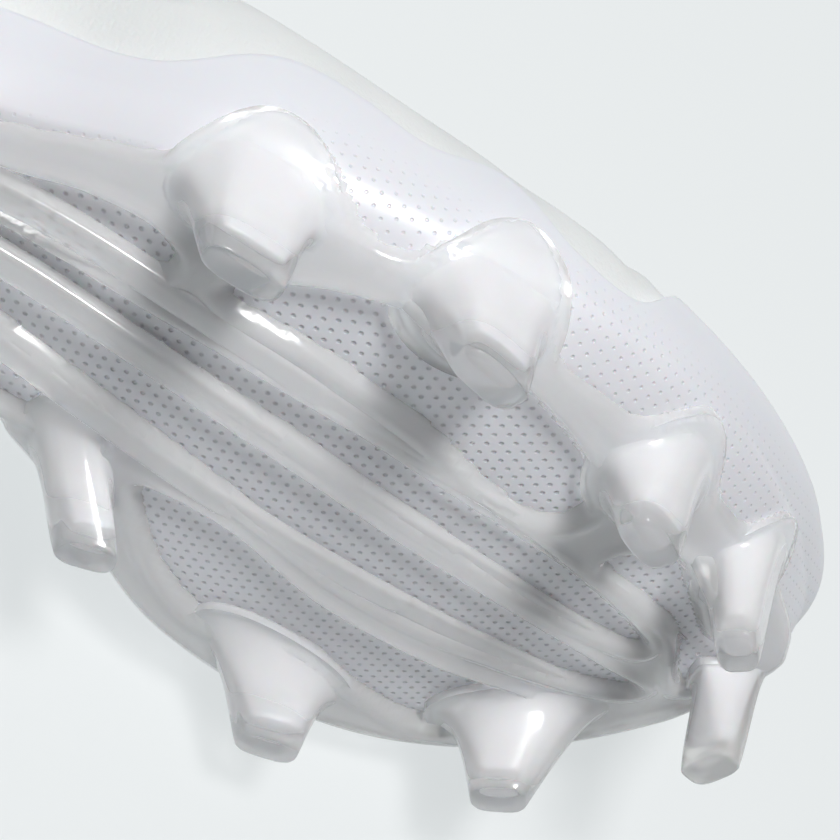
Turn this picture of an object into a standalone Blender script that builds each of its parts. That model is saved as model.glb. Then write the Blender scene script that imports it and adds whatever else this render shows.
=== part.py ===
"""An american football cleat for the right foot, empty, lying on its inner side.

The shoe is modelled in its own frame: x runs from the heel to the toe, y towards the
inner (big toe) side, z from the stud tips up to the collar. One empty then lays it down.
"""

import math
from collections import namedtuple

import bmesh
import bpy
from mathutils import Matrix, Vector

MM = 0.001

# driving sizes of the shoe
LAST_LENGTH = 290 * MM      # heel to toe along the edge of the plate
BALL_WIDTH = 96 * MM        # across the plate at the ball of the foot
INSTEP_HEIGHT = 60 * MM     # instep above the plate
STUD_LENGTH = 12 * MM       # forefoot plate above the ground
TOE_SPRING = 17 * MM        # toe end of the plate above its ball
ARCH_RISE = 7 * MM          # shank of the plate above its ball
HEEL_RISE = 3 * MM          # heel of the plate above its ball
PLATE_CAMBER = 2.2 * MM     # edges of the plate above its middle
EDGE_LIFT = 3.0 * MM        # rounded border of the plate above its camber
EDGE_START = 0.78           # share of the half width where the border begins
EDGE_TUCK = 1.4 * MM        # turn from the plate into the side wall, along the plate
EDGE_TURN = 0.5 * MM        # the same turn, along the side wall
WALL_BULGE = 3.0 * MM       # upper past the edge of the plate

# walls and clearances
CLEARANCE = 0.3 * MM
FLOOR_THICKNESS = 2.8 * MM
CHASSIS_WALL = 2.0 * MM
CHASSIS_LIP = 1.0 * MM
LIP_HEIGHT = 20 * MM
CAGE_THICKNESS = 1.8 * MM
UPPER_WALL = 1.8 * MM
COLLAR_PADDING = 3.2 * MM
OVERLAY_STEP = 0.7 * MM
INSOLE_THICKNESS = 4.0 * MM
TONGUE_THICKNESS = 4.0 * MM

# about the middle of the shoe's weight, in its own frame
REST_CENTRE = (0.48 * LAST_LENGTH, -0.01 * BALL_WIDTH, STUD_LENGTH + 0.30 * INSTEP_HEIGHT)

# grid of the curved pieces
SPAN_COLUMNS = 3
PLATE_ROWS = (0.0, 0.72, 0.9)
WALL_STEPS = 3
WALL_FULLNESS = 0.86        # exponent of the rounded section, 1 is an ellipse
OPEN_SWEEP = 0.62           # share of the quarter round that an open edge stops at

Station = namedtuple("Station", "x_out y_out x_in y_in top_x top_half rise bulge")
# a row for each section, heel to toe: plate edge on the outer and inner side, then the
# edge of the collar and throat, or the ridge of the closed vamp
# x as shares of LAST_LENGTH, y of BALL_WIDTH, rise of INSTEP_HEIGHT, bulge of WALL_BULGE
STATIONS = (
    Station(0.010, 0.000, 0.010, 0.000, 0.016, 0.000, 1.09, 0.7),
    Station(0.038, -0.205, 0.038, 0.195, 0.040, 0.165, 1.06, 0.7),
    Station(0.125, -0.315, 0.125, 0.300, 0.130, 0.270, 0.84, 0.8),
    Station(0.245, -0.300, 0.245, 0.262, 0.235, 0.275, 0.80, 1.0),
    Station(0.370, -0.292, 0.370, 0.190, 0.330, 0.215, 0.93, 1.8),
    Station(0.480, -0.335, 0.480, 0.150, 0.420, 0.150, 1.00, 2.0),
    Station(0.580, -0.470, 0.580, 0.230, 0.520, 0.135, 0.92, 1.3),
    Station(0.700, -0.510, 0.690, 0.420, 0.625, 0.100, 0.77, 1.0),
    Station(0.800, -0.465, 0.800, 0.500, 0.708, 0.000, 0.67, 1.0),
    Station(0.885, -0.345, 0.885, 0.450, 0.800, 0.000, 0.59, 1.0),
    Station(0.958, -0.165, 0.958, 0.295, 0.880, 0.000, 0.52, 1.0),
    Station(1.000, 0.040, 1.000, 0.040, 0.935, 0.000, 0.45, 1.0),
)
SPANS = len(STATIONS) - 1
LOOP = 2 * SPANS
VAMP_START = 8              # station where the throat has closed
THROAT_START = 4.2          # station of the top eyelets
RIDGE_Y = 0.035             # ridge of the vamp, share of BALL_WIDTH towards the inner side

Profile = namedtuple("Profile", "x rise")
# underside of the plate, x as a share of LAST_LENGTH, height above the stud tips
PROFILE = (
    Profile(0.00, STUD_LENGTH + HEEL_RISE * 1.3),
    Profile(0.12, STUD_LENGTH + HEEL_RISE),
    Profile(0.26, STUD_LENGTH + HEEL_RISE * 1.4),
    Profile(0.40, STUD_LENGTH + ARCH_RISE),
    Profile(0.50, STUD_LENGTH + ARCH_RISE * 0.9),
    Profile(0.60, STUD_LENGTH + ARCH_RISE * 0.3),
    Profile(0.69, STUD_LENGTH),
    Profile(0.79, STUD_LENGTH + TOE_SPRING * 0.13),
    Profile(0.90, STUD_LENGTH + TOE_SPRING * 0.5),
    Profile(1.00, STUD_LENGTH + TOE_SPRING),
)

Edge = namedtuple("Edge", "x outer inner")
# scalloped upper edge of the white side wall, x as a share of LAST_LENGTH, then its
# height above the plate as shares of LIP_HEIGHT
CHASSIS_EDGE = (
    Edge(0.00, 0.90, 0.90),
    Edge(0.10, 0.80, 0.80),
    Edge(0.25, 0.55, 0.60),
    Edge(0.38, 0.60, 0.75),
    Edge(0.50, 0.80, 0.85),
    Edge(0.58, 0.98, 0.90),
    Edge(0.645, 0.95, 0.75),
    Edge(0.70, 0.98, 0.75),
    Edge(0.76, 0.72, 0.95),
    Edge(0.81, 0.95, 0.85),
    Edge(0.86, 0.78, 0.70),
    Edge(0.92, 0.80, 0.85),
    Edge(1.00, 0.75, 0.75),
)
RAIL_SHARES = (0.94, 0.97)  # rounded border under the cage's rail between two studs
CAGE_BORDER = 2 * MM        # white wall left above the cage everywhere
WALL_START = 4.6 * MM       # rounded lower edge of the side wall
WEB_REACH = 15 * MM         # half the foot of a stud's web along the side wall
CAGE_SINK = 0.7 * MM        # cage's inner skin inside the chassis, before it is fitted
LID_HEIGHT = 16 * MM        # lid of the space that the chassis takes up in the cage

Stud = namedtuple("Stud", "name x y turn length width foot_length foot_width web")
# forefoot and heel studs: middle of the tip, x as a share of LAST_LENGTH and y of
# BALL_WIDTH, then its turn in degrees, the tip, the foot and the web's height in metres
STUDS = (
    Stud("a", 0.593, -0.450, 5, 10 * MM, 5 * MM, 22 * MM, 13 * MM, 17 * MM),
    Stud("b", 0.708, -0.490, 15, 10 * MM, 5 * MM, 22 * MM, 14 * MM, 17 * MM),
    Stud("c", 0.827, -0.350, 25, 8 * MM, 6 * MM, 22 * MM, 14 * MM, 15 * MM),
    Stud("d", 0.913, -0.215, 45, 8 * MM, 5 * MM, 18 * MM, 12 * MM, 13 * MM),
    Stud("e", 0.618, 0.180, -15, 8 * MM, 5 * MM, 22 * MM, 13 * MM, 13 * MM),
    Stud("f", 0.764, 0.422, -12, 9 * MM, 5 * MM, 22 * MM, 13 * MM, 13 * MM),
    Stud("g", 0.891, 0.330, -35, 8 * MM, 6 * MM, 22 * MM, 13 * MM, 13 * MM),
    Stud("h", 0.969, 0.070, -75, 8 * MM, 5 * MM, 18 * MM, 11 * MM, 12 * MM),
    Stud("heel_a", 0.085, -0.215, -20, 9 * MM, 7 * MM, 22 * MM, 15 * MM, 12 * MM),
    Stud("heel_b", 0.085, 0.205, 20, 9 * MM, 7 * MM, 22 * MM, 15 * MM, 12 * MM),
    Stud("heel_c", 0.205, -0.235, 5, 9 * MM, 7 * MM, 22 * MM, 14 * MM, 11 * MM),
    Stud("heel_d", 0.205, 0.210, -5, 9 * MM, 7 * MM, 22 * MM, 14 * MM, 11 * MM),
)
TOE_STUD_LIFT = 0.45        # share of the toe spring that the toe studs follow
CORE_SHARE = 0.55           # foot of the white core, share of the stud's foot
TIP_SHELL = 1.2 * MM        # clear wall around the core at its tip
STUD_TIP = 4.5 * MM         # solid clear tip below the core

Rib = namedtuple("Rib", "name x_back y_back x_mid y_mid x_front y_front")
# the three long ribs, x as shares of LAST_LENGTH and y of BALL_WIDTH
RIBS = (
    Rib("outer", 0.40, -0.160, 0.66, -0.225, 0.915, -0.010),
    Rib("middle", 0.38, -0.055, 0.66, -0.100, 0.950, 0.125),
    Rib("inner", 0.40, 0.040, 0.66, 0.065, 0.930, 0.205),
)
RIB_HEIGHT = 3.2 * MM       # ridge below the plate
RIB_WIDTH = 5.4 * MM
RIB_STEPS = 9
RIB_ROOT = 1.5 * MM         # rib sunk into the cage

Opening = namedtuple("Opening", "name corners")
# openings through the cage, corners in order as shares of LAST_LENGTH and BALL_WIDTH
OPENINGS = (
    Opening("leaf_outer", ((0.30, -0.21), (0.42, -0.235), (0.52, -0.29), (0.555, -0.30),
                           (0.55, -0.26), (0.50, -0.215), (0.40, -0.195))),
    Opening("leaf_inner", ((0.30, 0.10), (0.42, 0.085), (0.52, 0.085), (0.585, 0.125),
                           (0.57, 0.145), (0.50, 0.120), (0.40, 0.120))),
    Opening("between_outer", ((0.40, -0.125), (0.52, -0.165), (0.66, -0.185), (0.77, -0.155),
                              (0.86, -0.060), (0.91, 0.030), (0.84, -0.005), (0.76, -0.075),
                              (0.66, -0.130), (0.52, -0.130))),
    Opening("between_inner", ((0.40, -0.030), (0.52, -0.075), (0.66, -0.065), (0.76, -0.010),
                              (0.86, 0.070), (0.935, 0.155), (0.85, 0.150), (0.76, 0.115),
                              (0.66, 0.035), (0.52, -0.015))),
    Opening("window_outer", ((0.605, -0.285), (0.635, -0.370), (0.68, -0.420), (0.715, -0.415),
                             (0.755, -0.380), (0.795, -0.315), (0.815, -0.235), (0.80, -0.180),
                             (0.765, -0.200), (0.72, -0.255), (0.66, -0.285))),
    Opening("window_inner", ((0.635, 0.125), (0.635, 0.165), (0.665, 0.270), (0.705, 0.335),
                             (0.735, 0.310), (0.760, 0.300), (0.800, 0.360), (0.840, 0.395),
                             (0.868, 0.370), (0.885, 0.260), (0.82, 0.235), (0.74, 0.185),
                             (0.68, 0.120))),
    Opening("toe", ((0.850, -0.130), (0.875, -0.190), (0.905, -0.120), (0.940, -0.020),
                    (0.970, 0.020), (0.965, 0.120), (0.950, 0.090), (0.915, -0.040))),
)
OPENING_SMOOTHING = 2
OPENING_DEPTH = 45 * MM

EYELET_ROWS = 6
EYELET_RADIUS = 2.1 * MM
EYELET_INSET = 8 * MM       # hole from the edge of the throat
EYELET_FRONT = 0.75         # first eyelets behind the closed vamp, in stations
EYELET_BACK = 0.80          # last eyelets in front of the throat's top, in stations
LACE_WIDTH = 6 * MM
LACE_THICKNESS = 1.5 * MM
LACE_LIFT = 0.2 * MM        # first bar above the eyestay
LACE_LIFT_STEP = 0.3 * MM   # more for each bar up the curving throat
LACE_HANDLE = 0.42          # how far a bar follows the eyestay, share of its span
LACE_STEPS = 6

# rows of the upper above the chassis, shares of the way to its top edge
FREE_ROWS = (0.26, 0.44, 0.46, 0.70, 0.72, 1.0)
COLLAR_START = 0.62         # height share where the padded collar begins
EYESTAY_ROW = 8             # row of the upper where the eyestay begins
EYESTAY_START = 3.8         # station where the eyestay ends behind the top eyelets
COUNTER_ROW = 5             # highest row of the heel counter
COUNTER_END = 2.6           # station where the heel counter ends

TONGUE_ROWS = 9
TONGUE_GAP = 1.8 * MM
TONGUE_ROOT = Vector((9.0, 0.0, -5.0)) * MM  # run of the tongue under the vamp
TONGUE_TOP = Vector((-11.0, 0.0, 21.0)) * MM  # run of the tongue past the eyelets
TongueTop = namedtuple("TongueTop", "along width thickness")
# the tongue past the eyelets: share of the way up, then width and thickness as shares
TONGUE_TOPS = (
    TongueTop(0.20, 0.64, 1.00),
    TongueTop(0.72, 0.68, 0.85),
    TongueTop(1.00, 0.46, 0.50),
)


def catmull(a, b, c, d, u):
    """Value between b and c at share u."""
    return 0.5 * (2 * b + (c - a) * u + (2 * a - 5 * b + 4 * c - d) * u * u
                  + (3 * b - a - 3 * c + d) * u ** 3)


def smoothstep(low, high, value):
    """Smooth 0 to 1 as value goes from low to high."""
    u = min(max((value - low) / (high - low), 0.0), 1.0)
    return u * u * (3 - 2 * u)


def along(rows, column, x):
    """Value of a table's column at x, smooth between its rows."""
    xs = [row.x * LAST_LENGTH for row in rows]
    values = [getattr(row, column) for row in rows]
    x = min(max(x, xs[0]), xs[-1] - 1e-9)
    i = max(k for k in range(len(xs) - 1) if xs[k] <= x)
    u = (x - xs[i]) / (xs[i + 1] - xs[i])
    last = len(xs) - 1
    return catmull(values[max(i - 1, 0)], values[i], values[i + 1], values[min(i + 2, last)], u)


def plate_z(x):
    """Underside of the plate at x."""
    return along(PROFILE, "rise", x)


def loop_row(k):
    """Sizes of station k of the closed loop: heel, outer side, toe, inner side."""
    k %= LOOP
    outer = k <= SPANS
    row = STATIONS[k if outer else LOOP - k]
    side = -1 if outer else 1
    x = row.x_out if outer else row.x_in
    y = row.y_out if outer else row.y_in
    ridge = RIDGE_Y * smoothstep(0.5, 1.0, row.top_x)
    return (x * LAST_LENGTH, y * BALL_WIDTH, row.top_x * LAST_LENGTH,
            (ridge + side * row.top_half) * BALL_WIDTH, row.rise * INSTEP_HEIGHT,
            row.bulge * WALL_BULGE)


def station(t):
    """Smoothly interpolated sizes at loop place t."""
    k = math.floor(t)
    rows = [loop_row(k + step) for step in (-1, 0, 1, 2)]
    return [catmull(*values, t - k) for values in zip(*rows)]


def mirrored(t):
    """The same station on the other side of the foot."""
    return (LOOP - t) % LOOP


def closed_vamp(t):
    """Whether the two sides of the upper meet in a ridge at loop place t."""
    return min(t % LOOP, mirrored(t)) >= VAMP_START - 1e-6


def foot_point(t):
    """Edge of the plate in plan."""
    sizes = station(t)
    return Vector((sizes[0], sizes[1]))


def outward(t):
    """Unit normal of the plate's edge in plan."""
    along_edge = foot_point(t + 0.05) - foot_point(t - 0.05)
    return Vector((along_edge.y, -along_edge.x)).normalized()


def spine_point(t):
    """Middle of the plate between a place and its mirrored place."""
    middle = (foot_point(t) + foot_point(mirrored(t))) / 2
    centre = Vector((0.5 * LAST_LENGTH, 0.0))
    return centre + (middle - centre) * 0.9


def plate_point(t, share, margin, lift):
    """Point of the plate, from its spine (share 0) to its edge widened by margin."""
    plan = spine_point(t).lerp(foot_point(t) + outward(t) * margin, share)
    camber = PLATE_CAMBER * share ** 2
    camber += EDGE_LIFT * max((share - EDGE_START) / (1 - EDGE_START), 0.0) ** 2
    return Vector((plan.x, plan.y, plate_z(plan.x) + camber + lift))


def last_point(t, h):
    """Outer surface of the upper, from the plate's edge (h 0) to its top edge (h 1)."""
    x, y, top_x, top_y, rise, bulge = station(t)
    if closed_vamp(t):
        other = station(mirrored(t))
        top_x = (top_x + other[2]) / 2
        top_y = (top_y + other[3]) / 2
        rise = (rise + other[4]) / 2
    foot_z = plate_z(x) + PLATE_CAMBER + EDGE_LIFT + FLOOR_THICKNESS + CLEARANCE
    top_z = plate_z(top_x) + rise
    place = min(t % LOOP, mirrored(t))
    sweep = OPEN_SWEEP + (1 - OPEN_SWEEP) * smoothstep(VAMP_START - 2.5, VAMP_START, place)
    end = 0.4999 * math.pi * sweep
    inward = (1 - math.cos(h * end) ** WALL_FULLNESS) / (1 - math.cos(end) ** WALL_FULLNESS)
    upward = (math.sin(h * end) / math.sin(end)) ** WALL_FULLNESS if h > 0 else 0.0
    swell = bulge * math.sin(math.pi * min(max(h, 0.0) * 1.25, 1.0))
    out = outward(t) * swell
    return Vector((x + (top_x - x) * inward + out.x, y + (top_y - y) * inward + out.y,
                   foot_z + (top_z - foot_z) * upward))


def last_normal(t, h):
    """Outward normal of the upper's surface."""
    step = 0.02
    low = max(min(h - step, 0.96), 0.004)
    high = min(h + step, 0.985)
    middle = min(h, 0.97)
    run = last_point(t + step, middle) - last_point(t - step, middle)
    climb = last_point(t, high) - last_point(t, low)
    return run.cross(climb).normalized()


def skin_point(t, h, offset):
    """Point at a distance outside the upper's surface."""
    point = last_point(t, h) + last_normal(t, h) * offset
    if h > 0.999 and closed_vamp(t):
        other = mirrored(t)
        twin = last_point(other, h) + last_normal(other, h) * offset
        point = (point + twin) / 2
    return point


def height_share(t, height):
    """Height share h of a height above the plate's edge."""
    low, high = 0.0, 1.0
    base = last_point(t, 0.0).z
    for _ in range(24):
        middle = (low + high) / 2
        if last_point(t, middle).z - base < height:
            low = middle
        else:
            high = middle
    return low


def chassis_wall(height):
    """Thickness of the white side wall at a height above the plate's edge."""
    return CHASSIS_WALL + (CHASSIS_LIP - CHASSIS_WALL) * smoothstep(0, LIP_HEIGHT, height)


def chassis_edge(t):
    """Height of the white side wall's upper edge."""
    column = "outer" if t % LOOP <= SPANS else "inner"
    return LIP_HEIGHT * along(CHASSIS_EDGE, column, foot_point(t).x)


def nearest_place(spot):
    """Loop place whose edge is closest to a spot in plan."""
    places = [LOOP * k / 880 for k in range(880)]
    return min(places, key=lambda t: (foot_point(t) - spot).length)


def cage_edge(t):
    """Height of the clear cage's web on the side wall, 0 between two studs."""
    foot = foot_point(t)
    height = 0.0
    for stud, place in STUD_FEET:
        tent = 1 - (foot - foot_point(place)).length / WEB_REACH
        if tent > 0:
            height = max(height, WALL_START + (stud.web - WALL_START) * tent ** 1.3)
    return min(height, chassis_edge(t) - CAGE_BORDER)


STUD_FEET = [(stud, nearest_place(Vector((stud.x * LAST_LENGTH, stud.y * BALL_WIDTH))))
             for stud in STUDS]


def loop_columns():
    """Loop places of the grid's columns."""
    count = LOOP * SPAN_COLUMNS
    return [LOOP * k / count for k in range(count)]


def wrapped_mesh(name, rows, closed_section=False, open_rim=None):
    """A closed skin around the foot, from functions that give each row at a loop place."""
    columns = loop_columns()
    wide = len(columns)
    tall = len(rows)
    bm = bmesh.new()
    bmesh.ops.create_grid(bm, x_segments=wide, y_segments=tall, size=0.5)
    bm.verts.ensure_lookup_table()
    for index, vertex in enumerate(bm.verts):
        column = index % (wide + 1)
        row = min(index // (wide + 1), tall)
        if closed_section:
            row %= tall
        elif row == tall:
            row = tall - 1
        vertex.co = rows[row](columns[column % wide])
    if open_rim is not None:
        bm.faces.ensure_lookup_table()
        doomed = []
        for index, face in enumerate(bm.faces):
            column = index % wide
            start = columns[column]
            end = start + LOOP / wide
            closed = closed_vamp(start) and closed_vamp(min(end, LOOP - 1e-6))
            if index // wide == open_rim and closed:
                doomed.append(face)
        bmesh.ops.delete(bm, geom=doomed, context="FACES")
    bmesh.ops.remove_doubles(bm, verts=bm.verts, dist=0.01 * MM)
    bmesh.ops.dissolve_degenerate(bm, edges=bm.edges, dist=0.005 * MM)
    bmesh.ops.recalc_face_normals(bm, faces=bm.faces)
    mesh = bpy.data.meshes.new(name)
    bm.to_mesh(mesh)
    bm.free()
    return mesh


def new_object(name, mesh, parent):
    """An object in the scene, under the shoe's empty."""
    item = bpy.data.objects.new(name, mesh)
    bpy.context.collection.objects.link(item)
    item.parent = parent
    return item


def material(name, colour, roughness, transmission=0.0):
    """A Principled material."""
    made = bpy.data.materials.new(name)
    made.use_nodes = True
    shader = made.node_tree.nodes["Principled BSDF"]
    shader.inputs["Base Color"].default_value = (*colour, 1)
    shader.inputs["Roughness"].default_value = roughness
    shader.inputs["Transmission Weight"].default_value = transmission
    made.diffuse_color = (*colour, 1)
    return made


def smooth(item, degrees=40):
    """Smooth shading with sharp edges kept."""
    item.data.shade_smooth()
    item.data.set_sharp_from_angle(angle=math.radians(degrees))


def boolean(item, other, operation, solver="EXACT"):
    """Cut or join another object, which then only guides."""
    cut = item.modifiers.new(operation.lower(), "BOOLEAN")
    cut.operation = operation
    cut.object = other
    cut.solver = solver
    other.hide_render = True
    other.display_type = "WIRE"


def wall_row(height, offset):
    """Row of a skin at a height above the plate's edge, outside the upper by an offset."""
    def point(t):
        level = height(t)
        start = EDGE_LIFT + FLOOR_THICKNESS + CLEARANCE
        below = max(start - level, 0.0)
        share = height_share(t, level - start)
        return skin_point(t, share, offset(level)) - Vector((0, 0, below))
    return point


def wall_level(t, k):
    """Height of row k of the surface where the upper stands in the chassis."""
    start = EDGE_LIFT + FLOOR_THICKNESS + CLEARANCE
    return start + (chassis_edge(t) - start) * k / WALL_STEPS


def plate_row(share, margin, lift):
    """Row of a skin under the foot."""
    return lambda t: plate_point(t, share, margin, lift)


def chassis_rows(extra, edge, steps):
    """Outer rows of the white chassis, widened by extra, from spine to upper edge."""
    margin = CLEARANCE + CHASSIS_WALL + extra
    rows = [plate_row(share, margin, -extra) for share in PLATE_ROWS]
    rows.append(plate_row(1.0, margin - EDGE_TUCK, EDGE_TURN - extra))
    for k in range(steps + 1):
        rows.append(wall_row(lambda t, k=k: WALL_START + (edge(t) - WALL_START) * k / steps,
                             lambda level: CLEARANCE + chassis_wall(level) + extra))
    return rows


def build_chassis(parent):
    """The white moulding: bottom, scalloped side walls and the cores of the studs."""
    rows = chassis_rows(0.0, chassis_edge, WALL_STEPS)
    for k in range(WALL_STEPS, 0, -1):
        rows.append(wall_row(lambda t, k=k: wall_level(t, k), lambda level: 1.8 * CLEARANCE))
    rows.append(plate_row(1.0, CLEARANCE, FLOOR_THICKNESS))
    rows.extend(plate_row(share, CLEARANCE, FLOOR_THICKNESS) for share in (PLATE_ROWS[-1], 0.0))
    chassis = new_object("chassis", wrapped_mesh("chassis", rows), parent)
    cores = new_object("stud_cores", stud_mesh("stud_cores", core_points), parent)
    boolean(chassis, cores, "UNION")
    chassis.data.materials.append(material("white_tpu", (0.84, 0.84, 0.88), 0.35))
    return chassis


def stud_place(stud):
    """Middle of a stud's tip in plan, and the height of its tip."""
    x = stud.x * LAST_LENGTH
    ball = PROFILE[6].x * LAST_LENGTH
    lift = TOE_STUD_LIFT * max(plate_z(x) - STUD_LENGTH, 0.0) if x > ball else 0.0
    return Vector((x, stud.y * BALL_WIDTH)), lift


def ring(centre, turn, length, width, z, inward=0.0):
    """Eight corners of a chamfered rectangle."""
    half = (length / 2 - inward, width / 2 - inward)
    cut = 0.3 * min(half)
    corners = []
    for sx, sy in ((1, 1), (-1, 1), (-1, -1), (1, -1)):
        near = [(half[0], half[1] - cut), (half[0] - cut, half[1])]
        for px, py in near if sx * sy > 0 else reversed(near):
            spot = Vector((sx * px, sy * py))
            spot.rotate(Matrix.Rotation(math.radians(turn), 2))
            corners.append(Vector((centre.x + spot.x, centre.y + spot.y, z)))
    return corners


def plate_height(spot):
    """Height of the plate's underside over a spot in plan."""
    t = nearest_place(spot)
    half = (foot_point(t) - spine_point(t)).length
    share = max(1 - (foot_point(t) - spot).length / half, 0.0)
    return plate_point(t, share, 0.0, 0.0).z


def inboard(spot, margin):
    """A spot in plan, moved in from the plate's edge where it is closer than margin."""
    t = nearest_place(spot)
    return spot - outward(t) * max(margin - (foot_point(t) - spot).length, 0.0)


def shell_points(stud):
    """Corners of a stud's clear outside, from its tip to its foot on the plate."""
    spot, tip_z = stud_place(stud)
    foot = inboard(spot, stud.foot_width / 2 - 2 * MM)
    points = ring(spot, stud.turn, stud.length, stud.width, tip_z)
    points += ring(foot, stud.turn, stud.foot_length, stud.foot_width, plate_height(foot))
    return points


def core_body(stud, inset, tip_gap, extra):
    """Corners of a stud's inner body: tip, root in the plate and a neck above the root."""
    spot, tip_z = stud_place(stud)
    length = stud.foot_length * CORE_SHARE
    width = stud.foot_width * CORE_SHARE
    foot = inboard(spot, width / 2 + 1 * MM)
    root_z = plate_height(foot) + FLOOR_THICKNESS - 0.4 * MM
    points = ring(spot, stud.turn, stud.length, stud.width, tip_z + STUD_TIP + tip_gap,
                  TIP_SHELL + inset)
    points += ring(foot, stud.turn, length, width, root_z, inset)
    if extra:
        points += ring(foot, stud.turn, length, width, root_z + extra, inset)
    return points


def cavity_points(stud):
    """Corners of the hollow that a stud's white core fills, open through the cage."""
    return core_body(stud, 0.0, 0.0, 5 * MM)


def core_points(stud):
    """Corners of a stud's white core, a clearance inside its hollow."""
    return core_body(stud, 1.3 * CLEARANCE, 0.8 * MM, 0.0)


def stud_mesh(name, corners):
    """One mesh with a convex body for each stud."""
    bm = bmesh.new()
    for stud in STUDS:
        made = [bm.verts.new(corner) for corner in corners(stud)]
        hull = bmesh.ops.convex_hull(bm, input=made)
        inside = {item for item in hull["geom_interior"] if isinstance(item, bmesh.types.BMVert)}
        bmesh.ops.delete(bm, geom=list(inside), context="VERTS")
    bmesh.ops.recalc_face_normals(bm, faces=bm.faces)
    mesh = bpy.data.meshes.new(name)
    bm.to_mesh(mesh)
    bm.free()
    return mesh


def rib_mesh():
    """The three long ribs, each a tapering bar that follows the plate."""
    bm = bmesh.new()
    for rib in RIBS:
        corners = [Vector((x * LAST_LENGTH, y * BALL_WIDTH)) for x, y in
                   ((rib.x_back, rib.y_back), (rib.x_mid, rib.y_mid), (rib.x_front, rib.y_front))]
        sections = []
        for k in range(RIB_STEPS + 1):
            u = k / RIB_STEPS
            bend = corners[1] * 2 - (corners[0] + corners[2]) / 2
            spot = corners[0] * (1 - u) ** 2 + bend * 2 * u * (1 - u) + corners[2] * u ** 2
            ahead = (bend - corners[0]) * (1 - u) + (corners[2] - bend) * u
            side = Vector((-ahead.y, ahead.x)).normalized()
            half = RIB_WIDTH / 2 * (1 - 0.55 * u)
            ridge = RIB_HEIGHT * (1 - 0.35 * u)
            base = plate_z(spot.x)
            section = []
            for across, drop in ((1, -RIB_ROOT), (0.75, ridge * 0.75), (0, ridge),
                                 (-0.75, ridge * 0.75), (-1, -RIB_ROOT)):
                place = spot + side * half * across
                section.append(bm.verts.new((place.x, place.y, base - drop)))
            sections.append(section)
        edges = [[bm.edges.new((s[i], s[(i + 1) % len(s)])) for i in range(len(s))] for s in sections]
        for near, far in zip(edges, edges[1:]):
            bmesh.ops.bridge_loops(bm, edges=near + far)
        bmesh.ops.contextual_create(bm, geom=sections[0])
        bmesh.ops.contextual_create(bm, geom=sections[-1])
    bmesh.ops.recalc_face_normals(bm, faces=bm.faces)
    mesh = bpy.data.meshes.new("ribs")
    bm.to_mesh(mesh)
    bm.free()
    return mesh


def smooth_outline(corners):
    """Rounded outline through an opening's corners."""
    places = [Vector((x * LAST_LENGTH, y * BALL_WIDTH)) for x, y in corners]
    count = len(places)
    outline = []
    for k in range(count):
        around = [places[(k + step) % count] for step in (-1, 0, 1, 2)]
        outline.extend(catmull(*around, step / OPENING_SMOOTHING) for step in range(OPENING_SMOOTHING))
    return outline


def opening_mesh():
    """Upright prisms that cut the cage's openings."""
    bm = bmesh.new()
    for opening in OPENINGS:
        verts = [bm.verts.new((p.x, p.y, -5 * MM)) for p in smooth_outline(opening.corners)]
        face = bm.faces.new(verts)
        grown = bmesh.ops.extrude_face_region(bm, geom=[face])
        lifted = [item for item in grown["geom"] if isinstance(item, bmesh.types.BMVert)]
        bmesh.ops.translate(bm, verts=lifted, vec=(0, 0, OPENING_DEPTH))
    bmesh.ops.recalc_face_normals(bm, faces=bm.faces)
    mesh = bpy.data.meshes.new("openings")
    bm.to_mesh(mesh)
    bm.free()
    return mesh


def cage_rows(extra):
    """Rows of the cage's skin: a rail on the rounded border, a web on the wall at a stud."""
    rows = chassis_rows(extra, cage_edge, 1)
    margin = CLEARANCE + CHASSIS_WALL + extra
    first = len(PLATE_ROWS)
    for row, share in zip(range(first, len(rows)), (*RAIL_SHARES, RAIL_SHARES[-1])):
        web = rows[row]
        rail = plate_row(share, margin, -extra)
        rows[row] = lambda t, web=web, rail=rail: web(t) if cage_edge(t) > 0 else rail(t)
    return rows


def build_cage(parent):
    """The clear cage: rails, ribs and hollow studs over the white chassis."""
    skin = cage_rows(CLEARANCE + CAGE_THICKNESS) + list(reversed(cage_rows(-CAGE_SINK)))
    cage = new_object("cage", wrapped_mesh("cage", skin), parent)
    shells = new_object("stud_shells", stud_mesh("stud_shells", shell_points), parent)
    ribs = new_object("ribs", rib_mesh(), parent)
    envelope_rows = chassis_rows(CLEARANCE, chassis_edge, WALL_STEPS)
    envelope_rows.extend(plate_row(share, 0.0, LID_HEIGHT) for share in (0.6, 0.0))
    envelope = new_object("chassis_space", wrapped_mesh("chassis_space", envelope_rows), parent)
    windows = new_object("openings", opening_mesh(), parent)
    hollows = new_object("stud_hollows", stud_mesh("stud_hollows", cavity_points), parent)
    boolean(cage, windows, "DIFFERENCE", "MANIFOLD")
    boolean(cage, ribs, "UNION", "MANIFOLD")
    boolean(cage, shells, "UNION", "MANIFOLD")
    boolean(cage, envelope, "DIFFERENCE", "MANIFOLD")
    boolean(cage, hollows, "DIFFERENCE", "MANIFOLD")
    cage.data.materials.append(material("clear_tpu", (0.80, 0.81, 0.81), 0.08, 0.6))
    return cage


def overlay(t, row, h):
    """Step of the eyestay and heel counter above the upper's own surface."""
    place = min(t % LOOP, mirrored(t))
    eyestay = row >= EYESTAY_ROW and EYESTAY_START <= place <= VAMP_START + 0.1
    counter = WALL_STEPS < row <= COUNTER_ROW and place <= COUNTER_END
    return OVERLAY_STEP if eyestay or counter else 0.0


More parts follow.
